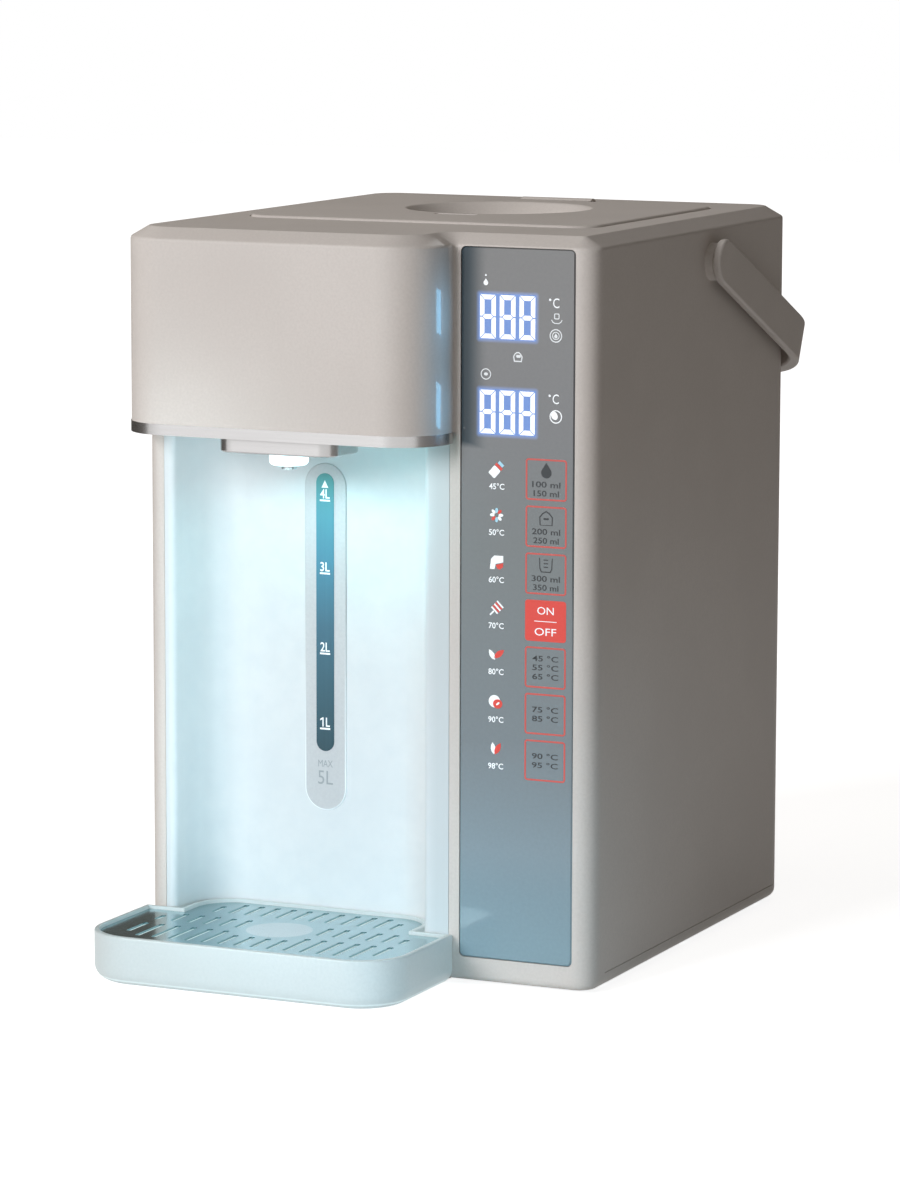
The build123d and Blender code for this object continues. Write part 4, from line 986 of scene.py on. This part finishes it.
for i in range(5):
    stripe = bar(-2.1, 2.1, -2.2 + 0.95 * i, -1.45 + 0.95 * i)
    plate((white, red)[i % 2], turned(stripe, ICON_X + 0.5, ICON_ROWS[3] + 0.5, -45))
plate(white, turned(bar(-0.35, 0.35, -5.0, -2.4), ICON_X + 0.5, ICON_ROWS[3] + 0.5, -45))
LEAF = [(0, -2.6), (0.9, -1.3), (1.2, 0.2), (0.8, 1.7), (0, 2.9), (-0.8, 1.7), (-1.2, 0.2), (-0.9, -1.3)]
plate(white, turned(LEAF, ICON_X - 1.9, ICON_ROWS[4] - 0.3, 32))
plate(red, turned([(x * 1.15, z * 1.15) for x, z in LEAF], ICON_X + 1.3, ICON_ROWS[4] + 0.2, -52))
plate(white, circle(ICON_X - 0.7, ICON_ROWS[5] + 0.5, 2.8, 2.8))
plate(red, circle(ICON_X + 0.9, ICON_ROWS[5] - 0.6, 2.3, 2.1), lift=INK_MM)
plate(white, circle(ICON_X + 1.0, ICON_ROWS[5] - 0.5, 1.0, 0.45, turn=40), lift=2 * INK_MM)
plate(white, turned(LEAF, ICON_X - 1.2, ICON_ROWS[6] + 0.1, 8))
plate(red, turned([(x * 1.1, z * 1.1) for x, z in LEAF], ICON_X + 0.9, ICON_ROWS[6], -28), lift=INK_MM)
print("pictograms", len(ICON_ROWS), "with", len(white.faces), "white faces")

# %% [markdown]
# ## The red key and the signs beside the displays
# The red key has its two words and the line between them in white, lifted clear of the red film. Beside
# the displays stand two degree signs and small signs in grey and white: rings, drops, a kettle, and a
# small box over a curved line. A ring is an outline between two circles. Last, each ink becomes a piece.

# %% Red key and signs
FIGURE_LIFT = 0.08
KETTLE_AT = (74.9, 286.3)
KETTLE_INSIDE = 0.76

low, high = key_span(RED_KEY)
words(white, "ON", KEY_MID, high - 4.7, 3.4, 8.0, face=GLASS_FACE - FIGURE_LIFT)
centre = (low + high) / 2
plate(white, bar(KEY_X0 + 4.5, KEY_X1 - 4.5, centre - 0.4, centre - 0.1), lift=FIGURE_LIFT)
words(white, "OFF", KEY_MID, low + 4.3, 3.4, 10.4, face=GLASS_FACE - FIGURE_LIFT)
for top in (312.5, 270.1):
    words(white, "C", 93.2, top - 1.7, 4.3, 3.0)
    plate(white, circle(90.3, top - 0.3, 0.55, count=12))

grey = bmesh.new()


def ring(ink, cx, cz, r, line):
    """A round outline whose line is that wide."""
    hoop(ink, circle(cx, cz, r), circle(cx, cz, r - line))


ring(grey, 93.1, 296.4, 3.0, 0.5)
ring(grey, 93.1, 296.4, 1.8, 0.4)
plate(grey, drop(93.1, 296.1, 0.8, 2.2))
ring(grey, 59.5, 278.1, 2.5, 0.42)
plate(grey, circle(59.5, 278.1, 1.0, 0.7, 12))
ring(white, 93.3, 260.6, 3.0, 0.5)
plate(white, circle(92.6, 261.1, 1.5, 2.0, turn=30))
plate(white, drop(59.3, 318.6, 1.1, 3.0))
plate(white, circle(59.3, 322.0, 0.45, count=10))
plate(grey, turned([(-2.7, 0.6), (-2.1, -0.5), (-1.0, -1.1), (1.0, -1.1), (2.1, -0.5), (2.7, 0.6), (2.3, 0.7),
                    (1.8, -0.2), (0.9, -0.7), (-0.9, -0.7), (-1.8, -0.2), (-2.3, 0.7)], 93.5, 302.8))
hoop(grey, rounded(92.2, 94.8, 303.7, 306.3, 0.6), rounded(92.65, 94.35, 304.1, 305.9, 0.3))
kettle = [(-1.9, -2.2), (1.9, -2.2), (2.3, 0.2), (1.4, 1.5), (0.6, 2.2), (-0.6, 2.2), (-1.5, 1.5),
          (-2.3, 0.2)]
hoop(grey, turned(kettle, *KETTLE_AT),
     turned([(x * KETTLE_INSIDE, z * KETTLE_INSIDE) for x, z in kettle], *KETTLE_AT))
plate(grey, rounded(74.1, 76.3, 286.0, 287.2, 0.4))

finish_print(white, "white_print", INK_WHITE)
finish_print(red, "red_print", INK_RED)
finish_print(dark, "dark_print", INK_DARK)
finish_print(blue, "pale_blue_print", INK_BLUE)
finish_print(grey, "grey_print", INK_GREY)

# %% [markdown]
# ## Litre marks
# White underlined figures stand on the window at every litre, under a small arrow, and the full capacity
# is printed in grey on the frosted surround below. This font's 1 is a plain bar, so the one litre mark
# gets the small flag that tells it from an I.

# %% Litre marks
WINDOW_X = -34.0
LENS_FACE = -68.4
BEZEL_FACE = -68.1
marks = bmesh.new()
for z, text in ((215.5, "4L"), (181.7, "3L"), (144.4, "2L"), (109.3, "1L")):
    shift, wide = (0.5, 3.8) if text == "1L" else (0.0, 4.8)
    words(marks, text, WINDOW_X + shift, z + 0.6, 4.3, wide, face=LENS_FACE, weight=BOLD)
    plate(marks, bar(WINDOW_X - 2.6, WINDOW_X + 2.6, z - 2.9, z - 2.1), face=LENS_FACE)
plate(marks, [(WINDOW_X - 1.7, 218.9), (WINDOW_X + 1.7, 218.9), (WINDOW_X, 222.4)], face=LENS_FACE)
plate(marks, [(WINDOW_X - 1.45, 112.05), (WINDOW_X - 1.45, 111.2), (WINDOW_X - 2.5, 110.5),
              (WINDOW_X - 2.5, 111.3)], face=LENS_FACE)
finish_print(marks, "litre_marks", INK_WHITE)

capacity = bmesh.new()
words(capacity, "5L", WINDOW_X, 83.8, 6.4, 7.6, face=BEZEL_FACE)
words(capacity, "MAX", WINDOW_X, 90.4, 3.2, 7.4, face=BEZEL_FACE)
# A mid grey that stays quiet on the pale acrylic.
quiet_grey = screen_ink("warm_grey_screen_ink", "#a3a9ab", "#989ea1")
finish_print(capacity, "capacity_mark", quiet_grey)

# %% [markdown]
# ## Floor and room
# The pot stands on a wide white floor. Seen directly, or in a mirror, the room is white, but it lights
# the pot only gently, so the shape comes from the key lamp. The Light Path node tells these two apart.
# Away from the pot the floor fades to plain white, so no horizon shows. A mirror ray sees the floor's
# own glow but not the pool of light under the key lamp, which would stand in the touch glass as a patch.

# %% Floor and room
FLOOR_M = 12.0
ROOM_LIGHT = 0.12
FLOOR_LIFT = 0.85
FADE_FROM = 0.45
FADE_TO = 1.1


def white_floor():
    """A wide floor, lit for the camera and for mirrors by its own glow."""
    mesh = bpy.data.meshes.new("studio_floor")
    half = FLOOR_M / 2
    corners = [(-half, -half, 0), (half, -half, 0), (half, half, 0), (-half, half, 0)]
    mesh.from_pydata(corners, [], [(0, 1, 2, 3)])
    material, tree, shader, place = start("painted_studio_floor")
    wash = add(tree, "TexNoise", {"Scale": 0.7, "Detail": 2.0}, {"Vector": place})
    tone = add(tree, "Mix", {"data_type": "RGBA", 6: colour("#f0f0f0"), 7: colour("#f6f6f6")},
               {0: wash.outputs["Fac"]})
    path = add(tree, "LightPath")
    seen = add(tree, "Math", {"operation": "MAXIMUM"},
               {0: path.outputs["Is Camera Ray"], 1: path.outputs["Is Glossy Ray"]})
    mirrored = add(tree, "Mix", {"data_type": "RGBA", 7: colour("#303030")},
                   {0: path.outputs["Is Glossy Ray"], 6: tone.outputs[2]})
    far = add(tree, "VectorMath", {"operation": "LENGTH"}, {0: place})
    fade = add(tree, "MapRange", {"From Min": FADE_FROM, "From Max": FADE_TO, "To Min": FLOOR_LIFT,
                                  "To Max": 1.0}, {"Value": far.outputs["Value"]})
    lift = add(tree, "Math", {"operation": "MULTIPLY"}, {0: seen.outputs[0], 1: fade.outputs[0]})
    wire(tree, shader, {"Roughness": 0.9, "Specular IOR Level": 0.0, "Emission Color": colour("#ffffff")},
         {"Base Color": mirrored.outputs[2], "Emission Strength": lift.outputs[0]})
    mesh.materials.append(material)
    floor = placed("studio_floor", mesh)


def white_room():
    """A world that looks white, and lights the pot a little."""
    world = bpy.data.worlds.new("studio_room")
    world.use_nodes = True
    tree = world.node_tree
    tree.nodes.clear()
    path = add(tree, "LightPath")
    mirror = add(tree, "Math", {"operation": "MAXIMUM"},
                 {0: path.outputs["Is Glossy Ray"], 1: path.outputs["Is Transmission Ray"]})
    seen = add(tree, "Math", {"operation": "MAXIMUM"},
               {0: path.outputs["Is Camera Ray"], 1: mirror.outputs[0]})
    strength = add(tree, "MapRange", {"To Min": ROOM_LIGHT, "To Max": 1.0}, {"Value": seen.outputs[0]})
    tint = add(tree, "Mix", {"data_type": "RGBA", 6: colour("#fff5ea"), 7: colour("#ffffff")},
               {0: seen.outputs[0]})
    sky = add(tree, "Background", links={"Color": tint.outputs[2], "Strength": strength.outputs[0]})
    add(tree, "OutputWorld", links={"Surface": sky.outputs[0]})
    bpy.context.scene.world = world


white_floor()
white_room()
print("floor", FLOOR_M, "m wide, room light", ROOM_LIGHT)

# %% [markdown]
# ## Dark flags
# Polished metal looks like metal because it mirrors dark things next to bright ones. A photographer
# stands black cards beside the object for that. Three brown cards stand left, right and behind the
# pot here, and only mirror rays see them: the trim darkens at its two ends, and the lid loses its glare.

# %% Flags
FLAG_AT = 1.2
FLAG_H = 1.1
FLAG_FRONT = -0.75


def flag(name, x0, y0, x1, y1):
    """An upright brown card between two points of the floor, which only mirror rays see."""
    mesh = bpy.data.meshes.new(name)
    mesh.from_pydata([(x0, y0, 0), (x1, y1, 0), (x1, y1, FLAG_H), (x0, y0, FLAG_H)], [], [(0, 1, 2, 3)])
    material, tree, shader, place = start(name + "_paper")
    fibre = add(tree, "TexNoise", {"Scale": 4.0, "Detail": 2.0}, {"Vector": place})
    tone = add(tree, "Mix", {"data_type": "RGBA", 6: colour("#766e66"), 7: colour("#827970")},
               {0: fibre.outputs["Fac"]})
    wire(tree, shader, {"Roughness": 0.9}, {"Base Color": tone.outputs[2]})
    mesh.materials.append(material)
    card = placed(name, mesh)
    for rays in ("camera", "diffuse", "shadow", "transmission"):
        setattr(card, "visible_" + rays, False)


flag("flag_left", -FLAG_AT, FLAG_FRONT, -FLAG_AT, FLAG_AT)
flag("flag_back", -FLAG_AT, FLAG_AT, FLAG_AT, FLAG_AT)
flag("flag_right", FLAG_AT, FLAG_FRONT, FLAG_AT, FLAG_AT)
print("flags", FLAG_H, "m high")

# %% [markdown]
# ## Lamps
# One big softbox stands low in front, a little to the left. It makes the front bright, the top half as
# bright and the right side dark, and its size keeps every edge soft. The bay has its own small cyan lamp
# under the head, which is what the pot's light board gives. Three weak lamps stand for light that goes
# back and forth: one in front of the bay for its glossy walls, one inside it for the teal corner at its
# top right, and one low and cool for what the lit tray and the floor send up. A weak lamp over the left
# shoulder gives the lid its fall from light to dark. The displays throw a little blue on the head.

# %% Lamps
SOFTBOX_AT = Vector((-1.25, -3.55, 1.5))
SOFTBOX_TO = Vector((0, 0, 0.17))
SOFTBOX_SIZE = 1.6
SOFTBOX_POWER = 112.0
BAY_LAMP_AT = Vector((-0.034, -0.1053, 0.2325))
BAY_LAMP_SIZE = 0.018
BAY_POWER = 0.025
BAY_SPREAD = 158
BAY_TOP_AT = Vector((-0.006, -0.126, 0.207))
BAY_TOP_TO = Vector((0.016, -0.085, 0.236))
BAY_TOP_SIZE = 0.02
BAY_TOP_POWER = 0.012
BAY_FILL_AT = Vector((0.12, -0.3, 0.13))
BAY_FILL_TO = Vector((-0.155, -0.08, 0.155))
BAY_FILL_W = 0.06
BAY_FILL_H = 0.24
BAY_FILL_POWER = 0.045
BAY_FILL_SPREAD = 25
TOP_FILL_AT = Vector((-0.55, -0.1, 0.8))
TOP_FILL_TO = Vector((-0.05, -0.05, 0.34))
TOP_FILL_SIZE = 0.4
TOP_FILL_POWER = 0.7
LOW_FILL_AT = Vector((0.28, -0.48, 0.03))
LOW_FILL_TO = Vector((0.02, -0.15, 0.02))
LOW_FILL_SIZE = 0.15
LOW_FILL_POWER = 0.105
LOW_FILL_SPREAD = 48
DISPLAY_LAMP_MM = 20
DISPLAY_POWER = 0.01


def softbox(name, at, aim, size, power, tint):
    """A square lamp that shines from one point towards another."""
    data = bpy.data.lights.new(name, "AREA")
    data.shape = "SQUARE"
    data.size = size
    data.energy = power
    data.color = colour(tint)[:3]
    lamp = placed(name, data)
    lamp.matrix_world = Matrix.Translation(at) @ (aim - at).to_track_quat("-Z", "Y").to_matrix().to_4x4()
    return lamp


softbox("key_softbox", SOFTBOX_AT, SOFTBOX_TO, SOFTBOX_SIZE, SOFTBOX_POWER, "#f9fbff")
bay = softbox("bay_lamp", BAY_LAMP_AT, BAY_LAMP_AT - Vector((0, 0, 1)), BAY_LAMP_SIZE, BAY_POWER, "#a6f1fb")
bay.data.shape = "DISK"
bay.data.spread = math.radians(BAY_SPREAD)
high = softbox("bay_top_fill", BAY_TOP_AT, BAY_TOP_TO, BAY_TOP_SIZE, BAY_TOP_POWER, "#86eefa")
fill = softbox("bay_fill", BAY_FILL_AT, BAY_FILL_TO, BAY_FILL_W, BAY_FILL_POWER, "#d6ecf4")
fill.data.shape = "RECTANGLE"
fill.data.size_y = BAY_FILL_H
fill.data.spread = math.radians(BAY_FILL_SPREAD)
low = softbox("low_fill", LOW_FILL_AT, LOW_FILL_TO, LOW_FILL_SIZE, LOW_FILL_POWER, "#a9d6ec")
low.data.spread = math.radians(LOW_FILL_SPREAD)
top = softbox("top_fill", TOP_FILL_AT, TOP_FILL_TO, TOP_FILL_SIZE, TOP_FILL_POWER, "#fff6ea")
for lamp in (high, fill, low, top):
    lamp.visible_camera = False
    lamp.visible_glossy = False
for x0, x1, z0, z1 in DISPLAYS:
    at = Vector(((x0 + x1) / 2, GLASS_FACE - 1, (z0 + z1) / 2)) * MM
    glow = softbox("display_lamp", at, at + Vector((0, -1, 0)), DISPLAY_LAMP_MM * MM, DISPLAY_POWER,
                   "#6cc0ee")
    glow.visible_camera = False

# %% [markdown]
# ## Finish
# The colours should come out as written, so the view transform is Standard.

# %% Finish
bpy.context.scene.view_settings.view_transform = "Standard"
